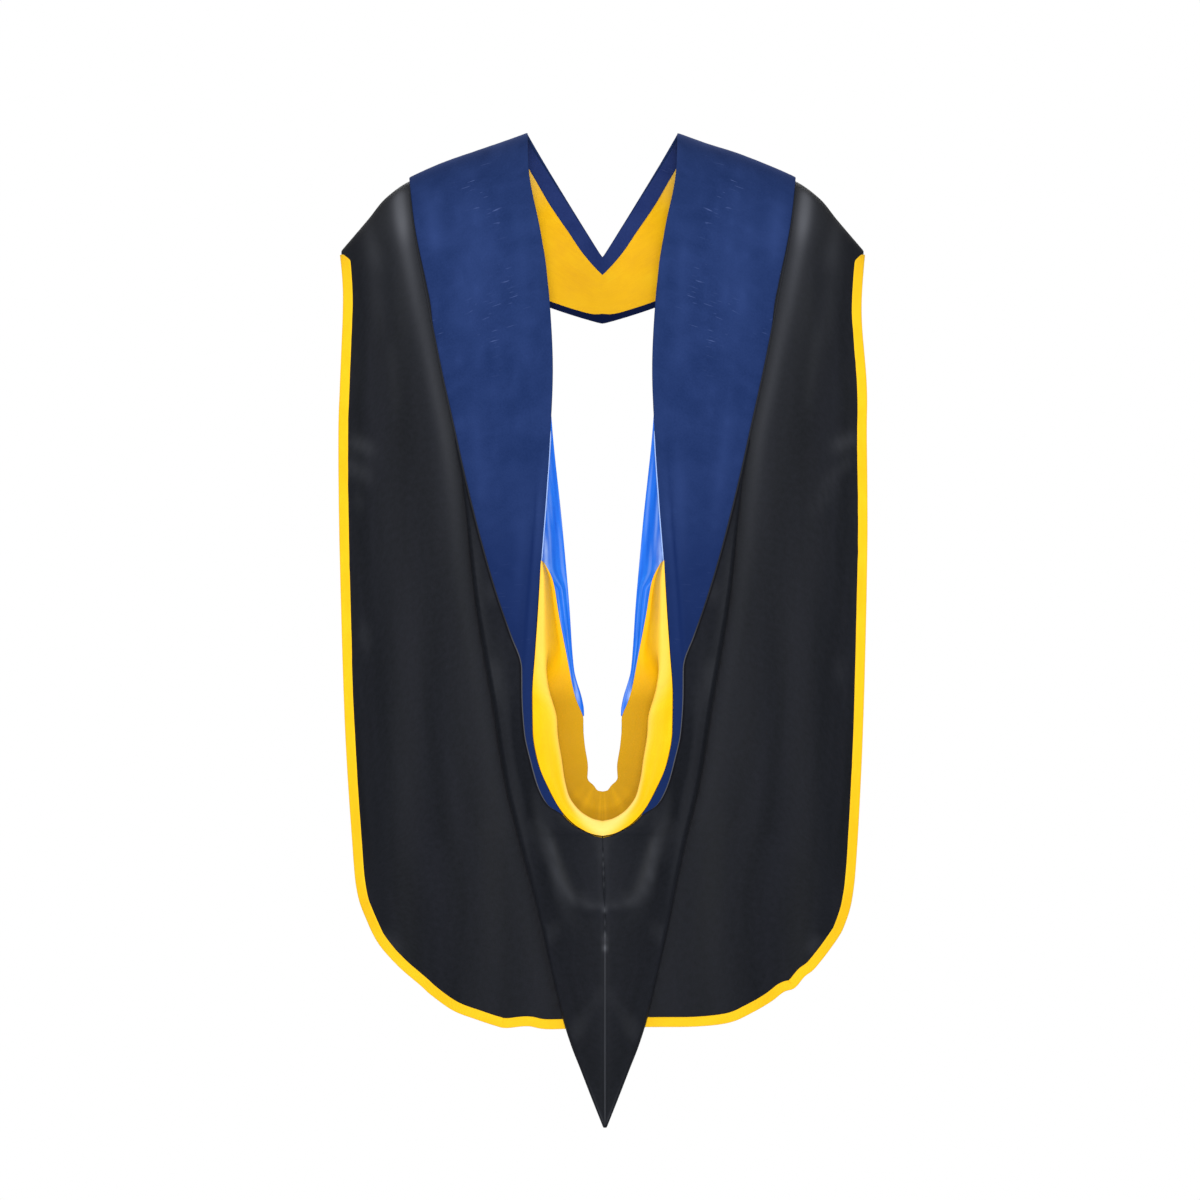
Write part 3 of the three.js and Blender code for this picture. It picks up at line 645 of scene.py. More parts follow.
VELVET_LIGHTS = {
    "left": table("top_half top_drop foot_half foot_drop width pale", [
        (196, 70, 186, 150, 10, 0.5), (150, 60, 138, 240, 26, 0.35), (92, 80, 86, 300, 8, 0.2),
        (88, 420, 95, 560, 7, 0.45), (84, 600, 83, 720, 4, 0.4), (150, 290, 128, 430, 10, 0.3),
    ]),
    "right": table("top_half top_drop foot_half foot_drop width pale", [
        (200, 72, 190, 160, 10, 0.5), (156, 60, 146, 250, 26, 0.3), (94, 90, 84, 310, 8, 0.25),
        (84, 340, 92, 540, 7, 0.4), (84, 610, 83, 720, 4, 0.4), (146, 300, 124, 440, 10, 0.35),
    ]),
}
VELVET_DEEP = table("drop deep", [(0, 0.02), (300, 0.1), (430, 0.25), (480, 0.6), (600, 0.85), (770, 0.9)])
TURN_LINE = 12.5
TURN_SHADE = 0.55
TURN_SHADE_WIDTH = 1.5
TURN_LIGHT = 0.3
TURN_LIGHT_AT = -5
TURN_LIGHT_WIDTH = 4


def velvet_tone(name, half, drop):
    """Painted highlights, uneven pale patches, a painted dark line at the turned edge, and a darker foot."""
    marks = dict(VELVET_LIGHTS[name], height=VELVET_LIGHTS[name]["pale"])
    pale = 0.7 * creases(marks, half, drop)
    pale = pale + 0.14 * soft_step(0.2, 1, crumple(half, drop, 30, 91 + SIDES[name]))
    deep = through(VELVET_DEEP["drop"], VELVET_DEEP["deep"])(drop)
    line = half - rim_half(drop) - TURN_LINE - SIDES[name]
    fade = soft_step(330, 470, drop) * (1 - soft_step(560, 620, drop))
    deep = deep + TURN_SHADE * fade * soft_line(line, 0, TURN_SHADE_WIDTH)
    pale = pale + TURN_LIGHT * fade * soft_line(line, TURN_LIGHT_AT, TURN_LIGHT_WIDTH)
    return np.clip(pale, 0, 1), np.clip(deep, 0, 1)


def velvet(name):
    u = np.linspace(0, 1, VELVET_ACROSS + 1)
    lift = VELVET_THICKNESS / 2
    below = (ARCH_HEIGHT * ease(rows_from(CAPE_ARCH)))[:, None]
    arch_half = mix(rim_half(below + NECK_DROP), seam_half(below + SHOULDER_DROP), u)
    at = np.linspace(0, 1, len(VELVET_ROWS["rim"]))
    w = rows_from(VELVET_HANGING)[1:]
    rim, seam = through(at, VELVET_ROWS["rim"])(w), through(at, VELVET_ROWS["seam"])(w)
    hang_half = mix(rim_half(rim)[:, None], seam_half(seam)[:, None], u)
    rim_below, seam_below = below_ridge(rim_half(rim), rim), below_ridge(seam_half(seam), seam)
    hang_below = mix(rim_below[:, None], seam_below[:, None], u)
    half = np.concatenate([arch_half, hang_half])
    below = np.concatenate([np.broadcast_to(below, arch_half.shape), hang_below])
    drop = below + ridge_drop(half)
    height = bag_height(half, drop) + lift + velvet_relief(name, half, drop, 31 + SIDES[name])
    back = on_form(half, below, height)
    front_half, front_below = front_rows(v_edge, front_seam, VELVET_ACROSS)
    front_half[0] = -OVER_CENTRE
    relief = VELVET_FRONT_RELIEF * crumple(front_half, front_below, 60, 41 + SIDES[name])
    front = on_form(front_half, front_below, rim_stand_off(0) + lift + relief, FRONT)
    grid = mirror(np.concatenate([front, back]), SIDES[name])
    plain = np.zeros(front_half.shape)
    tone = [np.concatenate([plain, part]) for part in velvet_tone(name, half, drop)]
    return cloth(f"{name}_velvet", grid, VELVET_THICKNESS, "navy_velvet", [f"{name}_velvet_facing"], tone)


velvets = {name: velvet(name) for name in SIDES}
print("velvet bands:", [piece.name for piece in velvets.values()])

# %% [markdown]
# Below the velvet hangs the bag, which ends in the tail. Each half is one black cloth: it leaves the
# velvet's seam, swells out, turns round its fold line and lies back along the cape. A cross-section at
# each drop is a path, and the rows of paths make the cloth. The two halves meet in the centre seam, which
# is drawn in a little. The glints of the small puckers beside it are painted into the cloth's colour.

# %% Make the cowl shell
SHELL_FRONT = 40
SHELL_TURN = 12
SHELL_BACK = 10
SHELL_ROWS = 150
TIP_DROP = 1119
BAG_BACK = 2.3
BACK_WALL_END = table("drop half", [
    (345, 140), (450, 122), (560, 100), (650, 82), (740, 50), (793, 0.1), (1120, 0.1),
])
SHELL_MARKS = {
    "left": table("top_half top_drop foot_half foot_drop width height", [
        (150, 430, 116, 700, 7, 1.6), (122, 560, 74, 905, 9, 1.8), (104, 640, 60, 880, 8, -1.6),
        (88, 720, 34, 900, 10, 1.8),
    ]),
    "right": table("top_half top_drop foot_half foot_drop width height", [
        (150, 440, 114, 700, 7, 1.6), (120, 570, 70, 915, 9, 1.8), (102, 650, 62, 870, 8, -1.6),
        (86, 730, 30, 890, 10, 1.8),
    ]),
}
SWAG_LOW = 868
SWAG_RISE = 62
SWAG_HALF = 60
SWAG_BEND = 4
SWAG_WIDTH = 9
SWAG_HEIGHT = 2.2
SWAG_PALE = 0.17
# Painted highlight: pale glints on the cloth beside the centre seam, at these drops.
SEAM_GLINTS = table("drop pale", [(873, 0.4), (902, 0.3), (908, 0.25), (916, 0.6)])
SEAM_GLINT_LENGTH = 2
SEAM_GLINT_HALF = 3.2
FOLD_LIGHT = 0.3
FOLD_LIGHT_AT = 1.5
FOLD_LIGHT_WIDTH = 1.6
CORNER_SHADE = 0.9
CORNER_SHADE_AT = 1.8
CORNER_SHADE_WIDTH = 1.3
SHELL_GAP = 0.35
SHELL_FOOT_START = 745
SHELL_FOOT_END = 800
CENTRE_DRAW = 1.2
CENTRE_DRAW_WIDTH = 3.2
back_wall_end = through(BACK_WALL_END["drop"], BACK_WALL_END["half"])


def swag_share(half, drop, width):
    """1 on the line of the swag that hangs under the rim, and less beside it."""
    line = SWAG_LOW - SWAG_RISE * (half / SWAG_HALF) ** SWAG_BEND
    slope = SWAG_BEND * SWAG_RISE / SWAG_HALF * (half / SWAG_HALF) ** (SWAG_BEND - 1)
    aside = (drop - line) / np.sqrt(1 + slope ** 2)
    return np.exp(-((aside / width) ** 2)) * (1 - soft_step(0.9, 1.12, half / SWAG_HALF))


def shell_tone(name, half, drop):
    """Painted light on the swag, seam glints, fold edge and crease tops; painted shade in hollows and
    corner.
    """
    wall_width = np.maximum(fold_half(drop), 4)
    arm = mix(3, 6.5, np.clip(half / SWAG_HALF, 0, 1))
    uneven = 0.75 + 0.35 * crumple(half, drop, 22, 71 + SIDES[name])
    pale = SWAG_PALE * swag_share(half, drop - 1, arm) * np.clip(uneven, 0.2, 1.3)
    for at, strength in zip(*SEAM_GLINTS.values()):
        beside_seam = np.exp(-((half / SEAM_GLINT_HALF) ** 4))
        pale = pale + strength * soft_line(drop, at, SEAM_GLINT_LENGTH) * beside_seam
    edge = soft_line(wall_width - half, FOLD_LIGHT_AT, FOLD_LIGHT_WIDTH)
    pale = pale + FOLD_LIGHT * edge * soft_step(560, 640, drop)
    pale = pale + 0.08 * soft_step(0.3, 1, crumple(half, drop * 0.4, 40, 57))
    marks = creases(SHELL_MARKS[name], half, drop)
    start = np.maximum(seam_half(drop), rim_half(drop))
    corner = soft_line(half - start, CORNER_SHADE_AT, CORNER_SHADE_WIDTH)
    deep = CORNER_SHADE * corner * np.where(drop < RIM_FOOT, 1, 0)
    pale = pale + 0.07 * np.clip(marks, 0, 2)
    deep = deep - 0.06 * np.clip(marks, -2, 0)
    return np.clip(pale, 0, 1), np.clip(deep, 0, 1)


def shell_relief(name, half, drop):
    """Folds of the bag's outer wall: creases, the swag under the rim and the drawn-in centre seam."""
    wall_width = np.maximum(fold_half(drop), 4)
    marks = creases(SHELL_MARKS[name], half, drop) + 0.5 * crumple(half, drop * 0.5, 60, 53)
    swag = SWAG_HEIGHT * swag_share(half, drop, SWAG_WIDTH)
    drawn = -CENTRE_DRAW * soft_line(half, 0, CENTRE_DRAW_WIDTH) * soft_step(RIM_FOOT, 830, drop)
    calm = 1 - soft_step(0.8, 1, half / wall_width)
    return (marks + swag) * calm * (1 - soft_step(1040, 1110, drop)) + drawn


def shell_row(name, drop):
    start = max(float(seam_half(drop)), float(rim_half(drop))) + SHELL_GAP
    first = start if drop < RIM_FOOT else 0
    lift = BLACK_THICKNESS / 2
    low = BAG_BACK + lift
    high = fold_stand_off(drop) + lift
    radius = (high - low) / 2
    turn = max(first + 0.2, fold_half(drop) - lift - radius)
    front_half = mix(first, turn, np.linspace(0, 1, SHELL_FRONT + 1))
    front_height = bag_height(front_half, drop) + lift
    rise = front_height[-1] - high
    front_height = front_height + shell_relief(name, front_half, drop)
    u = np.linspace(0, 1, SHELL_TURN + 1)[1:]
    turn_half = turn + radius * np.sin(u * math.pi)
    turn_height = low + radius + (radius + (1 - u) * rise) * np.cos(u * math.pi)
    back_end = min(float(back_wall_end(drop)), turn - 0.5)
    back_half = mix(turn, back_end, np.linspace(0, 1, SHELL_BACK + 1)[1:])
    half = np.concatenate([front_half, turn_half, back_half])
    height = np.concatenate([front_height, turn_height, np.full(SHELL_BACK, low)])
    plain = np.zeros(SHELL_TURN + SHELL_BACK)
    tone = [np.concatenate([part, plain]) for part in shell_tone(name, front_half, drop)]
    return on_form(half, below_ridge(half, drop), height), tone


def cowl_shell(name):
    upper = np.linspace(SHELL_TOP, SHELL_FOOT_START, int(SHELL_ROWS * 0.5))
    rim = np.linspace(SHELL_FOOT_START, SHELL_FOOT_END, int(SHELL_ROWS * 0.25))[1:]
    lower = np.linspace(SHELL_FOOT_END, TIP_DROP, int(SHELL_ROWS * 0.5))[1:]
    rows, tones = zip(*(shell_row(name, drop) for drop in np.concatenate([upper, rim, lower])))
    grid = leaning(mirror(np.array(rows), SIDES[name]))
    tone = [np.array(part) for part in zip(*tones)]
    return cloth(f"{name}_cowl", grid, BLACK_THICKNESS, "black_cloth", [f"{name}_cowl_shell"], tone)


shells = {name: cowl_shell(name) for name in SIDES}
print("cowl shells:", [piece.name for piece in shells.values()])

# %% [markdown]
# The gold lining is a trough. From the edge of the slit it lies along the cape, dips into the bag and
# comes back up to the rim, where it rolls outward as a fat lip. Rows fan round the foot of the U, and
# each row is a path through a few named heights. The lip is widest beside the foot and fades towards the
# top.

# %% Make the gold lining
LINING = 4.6
LIP_HEIGHT = 1.5
LIP_ROLL = 8
TROUGH = table("slit_drop slit_half rim_drop rim_half lip depth", [
    (483, 67, 481, 69.6, 1, 6), (504, 57.6, 500, 70.6, 3, 16), (544, 50.8, 540, 73, 5, 20),
    (585, 43, 585, 76.1, 17, 20), (633, 33.2, 631, 79.1, 23, 20), (661, 23, 673, 78.6, 27, 20),
    (690, 19.7, 710, 72.2, 26, 20), (713, 16.3, 740, 59.5, 19, 20), (726, 16.9, 762, 47, 15.5, 20),
    (734, 10, 780, 29, 15, 22), (740, 5, 789, 11, 15.5, 24), (SLIT_FOOT, 0, RIM_FOOT, 0, 15.5, 25),
])
TROUGH_STEPS = 9
TROUGH_ACROSS = 84
GATHERS = 46
OVER_BLUE = 2.2
OPEN_ABOVE = 575
CLOSED_BELOW = 668


def trough_row(row, order):
    """Places along one row, from the slit into the bag and up over the lip to the rim."""
    slit = np.array([row["slit_half"], row["slit_drop"]])
    run = np.array([row["rim_half"], row["rim_drop"]]) - slit
    width = np.hypot(*run)
    run = run / width
    lip, depth = row["lip"], row["depth"]
    top = float(rim_stand_off(min(row["rim_drop"], RIM_FOOT))) + LINING_THICKNESS / 2 + 0.2
    low = LINING + LINING_THICKNESS / 2
    roll = min(LIP_ROLL, 1.5 + lip / 3)
    rolled = np.array([
        (0, low), (width * 0.35, low), (width * 0.7, low), (width + depth * 0.3, low + 0.5),
        (width + depth * 0.85, low + top * 0.12), (width + depth, mix(low, top, 0.4)),
        (width + depth * 0.7, mix(low, top, 0.62)), (width - lip * 0.3, top - roll - 2.5),
        (width - lip + roll * 0.3, top - roll - 1), (width - lip - 1, top - roll * 0.6),
        (width - lip + roll * 0.3, top - roll * 0.15), (width - lip * 0.45, top + LIP_HEIGHT),
        (width - 0.6, top),
    ])
    share = np.linspace(0, 1, len(rolled))
    open_path = np.stack([share * (width - 0.6), mix(low, top, soft_step(0, 0.75, share))], axis=1)
    path = mix(open_path, rolled, soft_step(OPEN_ABOVE, CLOSED_BELOW, row["rim_drop"]))
    over_blue = 1 - soft_step(0.44, 0.49, order)
    path[0] = path[0] + over_blue * np.array([-OVER_BLUE, LINING_THICKNESS])
    path[1, 1] = path[1, 1] + over_blue * LINING_THICKNESS * 0.6
    fine = spline(path, np.linspace(0, 1, TROUGH_ACROSS + 1))
    fine[:, 1] = fine[:, 1] + trough_gather(fine[:, 0] / width, order)
    half = np.maximum(0, slit[0] + run[0] * fine[:, 0])
    return half, slit[1] + run[1] * fine[:, 0], fine[:, 1]


def trough_gather(share, order):
    """Small gathers that run down the inner wall, strongest round the foot."""
    foot = soft_step(0.45, 1, order)
    wander = 2.6 * np.sin(order * 11) + 1.4 * np.sin(order * 29)
    gather = np.sin(order * GATHERS + wander) * soft_line(share, 0.42, 0.22)
    lip = 0.25 * np.sin(order * 23) * soft_line(share, 0.85, 0.2)
    return (0.45 * foot * gather + 0.5 * lip) * soft_step(0, 0.2, share)


LIP_CREST = table("order at width pale", [
    (0, 0.7, 0.4, 0.25), (0.27, 0.8, 0.25, 0.3), (0.4, 0.8, 0.06, 0.3), (0.6, 0.79, 0.04, 0.42),
    (0.75, 0.8, 0.05, 0.68), (0.88, 0.83, 0.12, 0.72), (1, 0.9, 0.24, 0.68),
])


TROUGH_SHADES = table("at wide share start full fade gone", [
    (0.1, 0.12, 0.35, -2, -1, 0.2, 0.35), (0.9, 0.07, 0.2, 0.35, 0.5, 0.7, 0.85),
    (0.24, 0.07, 0.25, 0.35, 0.5, 2, 3),
])
WALL_SHADE = 0.95
FOOT_SHADE = 0.1
SLIT_LIGHT = 0.25


def trough_tone(order):
    """Painted shade on the inner wall and its gathers, less by the slit; a painted highlight on the lip's
    crest.
    """
    share = np.linspace(0, 1, TROUGH_ACROSS + 1)
    crest = {name: float(through(LIP_CREST["order"], LIP_CREST[name])(order)) for name in LIP_CREST}
    pale = crest["pale"] * soft_line(share, crest["at"], crest["width"])
    wall = 1 - soft_step(0.5, 0.7, share)
    wander = 3 * np.sin(order * 13) + 2 * np.sin(order * 31 + 5 * share)
    gather = 0.1 * np.sin(order * GATHERS + wander) * soft_step(0.5, 0.8, order)
    bagged = soft_step(0.25, 0.4, order)
    deep = wall * (bagged * WALL_SHADE + FOOT_SHADE * soft_step(0.5, 0.75, order))
    for at, wide, strength, start, full, fade, gone in zip(*TROUGH_SHADES.values()):
        present = soft_step(start, full, order) * (1 - soft_step(fade, gone, order))
        deep = deep + strength * soft_line(share, at, wide) * present
    slit_light = SLIT_LIGHT * wall * soft_line(share, 0.12, 0.08) * soft_step(0.6, 0.8, order)
    deep = deep + gather * wall - slit_light
    return pale * (1 - 0.9 * wall * bagged), np.clip(deep, 0, 1)


def lining_gold():
    count = (len(TROUGH["lip"]) - 1) * TROUGH_STEPS
    at = np.linspace(0, 1, len(TROUGH["lip"]))
    smooth = {name: through(at, column) for name, column in TROUGH.items()}
    halves = []
    orders = np.linspace(0, 1, count + 1)
    for order in orders:
        halves.append(trough_row({name: float(curve(order)) for name, curve in smooth.items()}, order))
    half, drop, height = (np.array(part) for part in zip(*halves))
    tone = [np.array(part) for part in zip(*(trough_tone(order) for order in orders))]
    tone = [np.concatenate([part, part[::-1][1:]]) for part in tone]
    right = on_form(half, below_ridge(half, drop), height)
    left = mirror(right, -1)
    grid = np.concatenate([left, right[::-1][1:]])
    return cloth("gold_trough", grid, LINING_THICKNESS, "gold_satin", ["lining_gold"], tone)


gold = lining_gold()
print("gold lining:", gold.name)

# %% [markdown]
# The blue chevron shows as a strip between the slit and the gold. Its satin pulls into long soft folds
# that run with the slit, so its relief is a wave across the strip that wanders along it.

# %% Make the blue lining
CHEVRON_ROWS = 120
CHEVRON_ACROSS = 26
TURN_UP = 22
UNDER_GOLD = 2.6
TUCK_HALF = 84
TUCK_END_HALF = 40
CHEVRON_FOOT = 656.5
PUFF_DROP = 487
PUFF_HEIGHT = 1.5
PINCH_DROP = 636
PINCH_HEIGHT = 1.2


def blue_relief(name, share, drop):
    wander = 0.8 * np.sin(drop / 37 + SIDES[name]) + 0.5 * np.sin(drop / 16)
    folds = np.sin(2 * math.pi * (1.6 * share) + wander)
    puff = PUFF_HEIGHT * soft_line(drop, PUFF_DROP, 14) * soft_line(share, 0.8, 0.2)
    pinch = PINCH_HEIGHT * soft_line(drop, PINCH_DROP, 9) * soft_line(share, 0.35, 0.4)
    return 0.5 * folds + puff + pinch


BLUE_GLINTS = table("drop share high wide pale", [
    (458, 0.6, 20, 0.08, 0.4), (470, 0.5, 14, 0.05, 0.7), (464, 0.66, 4, 0.05, 0.6),
    (475, 0.62, 3, 0.06, 0.8), (483, 0.56, 3, 0.05, 0.7), (490, 0.5, 4, 0.06, 0.5),
    (405, 0.38, 50, 0.03, 0.35), (634, 0.4, 7, 0.2, 0.7), (622, 0.2, 9, 0.1, 0.4),
    (612, 0.6, 16, 0.08, 0.3),
])


def blue_tone(name, share, drop):
    """Painted highlight where the satin puffs and in glints, and painted shade in its long folds."""
    wander = 0.3 * np.sin(drop / 41 + SIDES[name])
    broad = np.cos(2 * math.pi * (3.1 * share + wander))
    narrow = np.cos(2 * math.pi * (7.3 * share - wander))
    streak = 0.6 * broad + 0.4 * narrow
    pale = 0.3 * np.clip(streak, 0, 1) ** 2 * soft_step(300, 360, drop)
    for at, across, high, wide, strength in zip(*BLUE_GLINTS.values()):
        pale = pale + strength * soft_line(drop, at, high) * soft_line(share, across, wide)
    deep = 0.8 * np.clip(-streak, 0, 1) ** 1.5
    return np.clip(pale, 0, 1), np.clip(deep * np.ones_like(pale), 0, 1)


def lining_blue(name):
    drop = np.linspace(CHEVRON["drop"][0], CHEVRON_FOOT, CHEVRON_ROWS + 1)[:, None]
    u = np.linspace(0, 1, CHEVRON_ACROSS + 1)[None, :]
    tucked = mix(TUCK_HALF, TUCK_END_HALF, soft_step(488, 530, drop))
    outer = np.maximum(chevron_half(drop) + UNDER_GOLD * soft_step(470, 484, drop), tucked)
    half = mix(neckline_half(drop), outer, u)
    rise = np.maximum(0, bag_height(rim_half(drop) + 20, drop) - 3 - LINING)
    turn_up = rise * np.clip((half - rim_half(drop) - 2) / TURN_UP, 0, 1) ** 2
    calm = soft_step(0, 0.12, u) * (1 - soft_step(0.88, 1, u)) * soft_step(300, 340, drop)
    height = LINING + LINING_THICKNESS / 2 + turn_up + calm * blue_relief(name, u, drop)
    grid = mirror(on_form(half, below_ridge(half, np.broadcast_to(drop, half.shape)), height), SIDES[name])
    tone = blue_tone(name, np.broadcast_to(u, half.shape), drop)
    return cloth(f"{name}_chevron", grid, LINING_THICKNESS, "blue_satin", [f"{name}_lining_blue"], tone)


blues = {name: lining_blue(name) for name in SIDES}
print("blue chevrons:", [piece.name for piece in blues.values()])

# %% [markdown]
# Inside the front neckband the velvet's edges are turned in above and below a gold lining. The three
# strips are parts of one row across the band, so the same function makes each from its share of the
# width.

# %% Make the neckband
NECKBAND = table("along top bottom", [
    (0, 0.1, 0.94), (0.3, 0.115, 0.94), (0.46, 0.13, 0.935), (0.68, 0.154, 0.926), (0.85, 0.208, 0.919),
    (0.93, 0.238, 0.908), (0.967, 0.253, 0.901), (1, 0.268, 0.845),
])
NECKBAND_LAYER = -2.3
TRIM_LAYER = -3.1
NECKBAND_EDGE = 0.004
UNDER_TRIM = 0.02
NECKBAND_ROWS = 60
NECKBAND_START = 0.08
NECKBAND_RELIEF = 0.35
top_share = through(NECKBAND["along"], NECKBAND["top"])
bottom_share = through(NECKBAND["along"], NECKBAND["bottom"])


def neckband_strip(name, low_share, high_share, steps, layer, slot, node, tone=(0, 0)):
    t = ease(mix(NECKBAND_START, 1, rows_from(NECKBAND_ROWS)))
    t = np.concatenate([t[:-1], [mix(t[-2], 1, 0.9), 1]])
    (top_half, top_below), (low_half, low_below) = v_edge(t), front_seam(t)
    u = np.linspace(0, 1, steps + 1)
    share = mix(low_share(t)[:, None], high_share(t)[:, None], u)
    half = mix(top_half[:, None], low_half[:, None], share)
    below = mix(top_below[:, None], low_below[:, None], share)
    half[-1] = 0
    relief = NECKBAND_RELIEF * crumple(half, below, 40, 67)
    right = on_form(half, below, layer + LINING_THICKNESS / 2 + relief, FRONT)
    grid = np.concatenate([mirror(right, -1), right[::-1][1:]])
    return cloth(name, grid, LINING_THICKNESS, slot, [node], tone)


def all_along(value):
    return lambda t: np.full_like(t, value)


def end_share(share, full, none):
    """A share that is full at the two upper ends of a strip and gone further along."""
    row = np.linspace(0, 1, NECKBAND_ROWS + 2)
    half = share * (1 - soft_step(full, none, row))
    return np.concatenate([half, half[::-1][1:]])[:, None]


# Painted shade: the top trim's colour darkens towards its two upper ends.
top_trim = neckband_strip(
    "neckband_top", all_along(NECKBAND_EDGE), top_share, 8, TRIM_LAYER, "navy_trim",
    "neckband_top_trim", tone=(0, end_share(0.5, 0, 0.3)),
)
# Painted light: the gold lining is painted paler towards its two upper ends.
inner_gold = neckband_strip(
    "neckband_gold", lambda t: top_share(t) - UNDER_TRIM, lambda t: bottom_share(t) + UNDER_TRIM, 26,
    NECKBAND_LAYER, "gold_satin", "neckband_lining", tone=(end_share(0.45, 0.3, 0.65), 0),
)
# Painted shade: the whole bottom trim is painted darker.
low_trim = neckband_strip(
    "neckband_low", bottom_share, all_along(1 - NECKBAND_EDGE), 5, TRIM_LAYER, "navy_trim",
    "neckband_bottom_trim", tone=(0, 0.9),
)
print("neckband strips:", [piece.name for piece in (top_trim, inner_gold, low_trim)])

# %% [markdown]
# The pieces are sewn together with seams that show. A welt is a narrow roll of cloth that stands proud
# along a seam. It is made by moving a small round section along the seam's line, square to it all the
# way. Light on the welts is painted: paler where it catches them, and as glints on the centre seam.

# %% Make the seam welts
WELT_SIDES = 8
WELT_ENDS = 6


def along_line(name, line, radius, slot, pale, flat=1.0):
    """A closed roll of cloth along a line of places, with its ends drawn in."""
    tangent = np.gradient(line, axis=0)
    tangent = tangent / np.linalg.norm(tangent, axis=1, keepdims=True)
    side = np.cross(tangent, [0, 1, 0])
    side = side / np.linalg.norm(side, axis=1, keepdims=True)
    rise = np.cross(side, tangent)
    count = len(line)
    from_end = np.minimum(np.arange(count), np.arange(count)[::-1])
    taper = np.minimum(1, (from_end + 0.3) / WELT_ENDS) ** 0.5
    turn = np.linspace(0, 2 * math.pi, WELT_SIDES, endpoint=False)
    round_side = radius * taper[:, None] * np.cos(turn)
    round_rise = radius * taper[:, None] * flat * np.sin(turn)
    ring = line[:, None] + side[:, None] * round_side[..., None] + rise[:, None] * round_rise[..., None]
    shade = np.broadcast_to(np.reshape(pale, (-1, 1)), (count, WELT_SIDES))
    return add_piece(name, grid_mesh(name, ring, tone=(shade, 0), closed_across=True), slot)


def seam_line(name, half_at, drops, lift):
    half = half_at(drops)
    height = bag_height(half, drops) + lift
    return mirror(on_form(half, below_ridge(half, drops), height), SIDES[name])


WELT_RADIUS = 0.9
CENTRE_RADIUS = 1.3
SELVEDGE_RADIUS = 0.9
SEAM_WELT_TOP = 62
SEAM_WELT_LIFT = 1.2
SELVEDGE_TOP = 336
SELVEDGE_FOOT = 484
SELVEDGE_LIFT = 0.4
# Painted highlight: the blue selvedge at the velvet's inner edge is painted pale.
SELVEDGE_PALE = 0.8
# Painted highlight: glints on small puckers of the centre seam, at these drops.
PUCKER_GLINTS = table("drop long pale", [
    (812, 3, 0.25), (822, 3, 0.3), (832, 3, 0.25), (845, 3, 0.2), (873, 3, 0.6), (888, 4, 0.2),
    (902, 4, 0.6), (908, 3, 0.35), (916, 4, 0.95),
])


def centre_light(drops):
    """Painted highlight on the centre seam: glints on a few drawn-in puckers, then a pale line along its
    ridge.
    """
    pale = 0.3 * soft_step(905, 930, drops)
    for at, length, strength in zip(*PUCKER_GLINTS.values()):
        pale = pale + strength * soft_line(drops, at, length)
    return np.clip(pale, 0, 1)


welts = []
drops = np.linspace(RIM_FOOT - 0.5, BACK_LENGTH - 4, 160)
height = bag_height(0, drops) + BLACK_THICKNESS / 2 - CENTRE_DRAW * 0.6
line = leaning(on_form(0, below_ridge(0, drops), height))
welts.append(along_line("centre_seam", line, CENTRE_RADIUS, "black_cloth", centre_light(drops), flat=0.9))
for name in SIDES:
    drops = np.linspace(SEAM_WELT_TOP, SEAM_FOOT - 3, 200)
    line = seam_line(name, lambda drop: seam_half(drop) + 0.5, drops, SEAM_WELT_LIFT)
    # Painted highlight: the welt beside the velvet is paler further down, where light catches it.
    light = mix(0.12, 0.75, soft_step(540, 590, drops))
    welts.append(along_line(f"{name}_seam_welt", line, WELT_RADIUS, "black_cloth", light))
selvedges = []
for name in SIDES:
    drops = np.linspace(SELVEDGE_TOP, SELVEDGE_FOOT, 90)
    line = seam_line(name, lambda drop: rim_half(drop) - 0.2, drops, SELVEDGE_LIFT)
    selvedges.append(along_line(f"{name}_selvedge", line, SELVEDGE_RADIUS, "blue_satin", SELVEDGE_PALE))
print("welts:", [piece.name for piece in welts + selvedges])

# %% [markdown]
# A cutter lays each cloth flat before it is sewn. Some areas were set to what was measured. No pattern
# was at hand, so the only sizes here are those that each cloth prints as it is made, measured on the
# modelled cloth, and they prove nothing about the cloth's true size.

# %% [markdown]
# Each material is worked out by the renderer from noise and waves, so it needs no picture and has no
# seams. Node links are hard to read as code. So one small class stands for a shader value, and Python's
# own operators on it build the Math nodes.

# %% A shader value with arithmetic
class Value:
    """One output of a shader node, or only its node tree."""

    def __init__(self, tree, socket=None):
        self.tree = tree
        self.socket = socket

    def node(self, kind, inputs, out=0, stops=(), **settings):
        """Any other node: its settings first, then a ramp's stops, then its inputs."""
        made = self.tree.nodes.new(kind)
        for name, value in settings.items():
            setattr(made, name, value)
        for place, colour in stops[2:]:
            made.color_ramp.elements.new(place)
        for element, (place, colour) in zip(made.color_ramp.elements if stops else (), stops):
            element.position = place
            element.color = colour
        for name, value in inputs.items():
            if isinstance(value, Value):
                self.tree.links.new(value.socket, made.inputs[name])
            else:
                made.inputs[name].default_value = value
        return Value(self.tree, made.outputs[out])

    def math(self, operation, *values, **settings):
        return self.node("ShaderNodeMath", dict(enumerate(values)), operation=operation, **settings)

    def __add__(self, other):
        return self.math("ADD", self, other)

    def __sub__(self, other):
        return self.math("SUBTRACT", self, other)

    def __rsub__(self, other):
        return self.math("SUBTRACT", other, self)

    def __mul__(self, other):
        return self.math("MULTIPLY", self, other)

    __radd__ = __add__
    __rmul__ = __mul__


COLOUR_MIX = {"Factor": 0, "A": 6, "B": 7, "Result": 2}


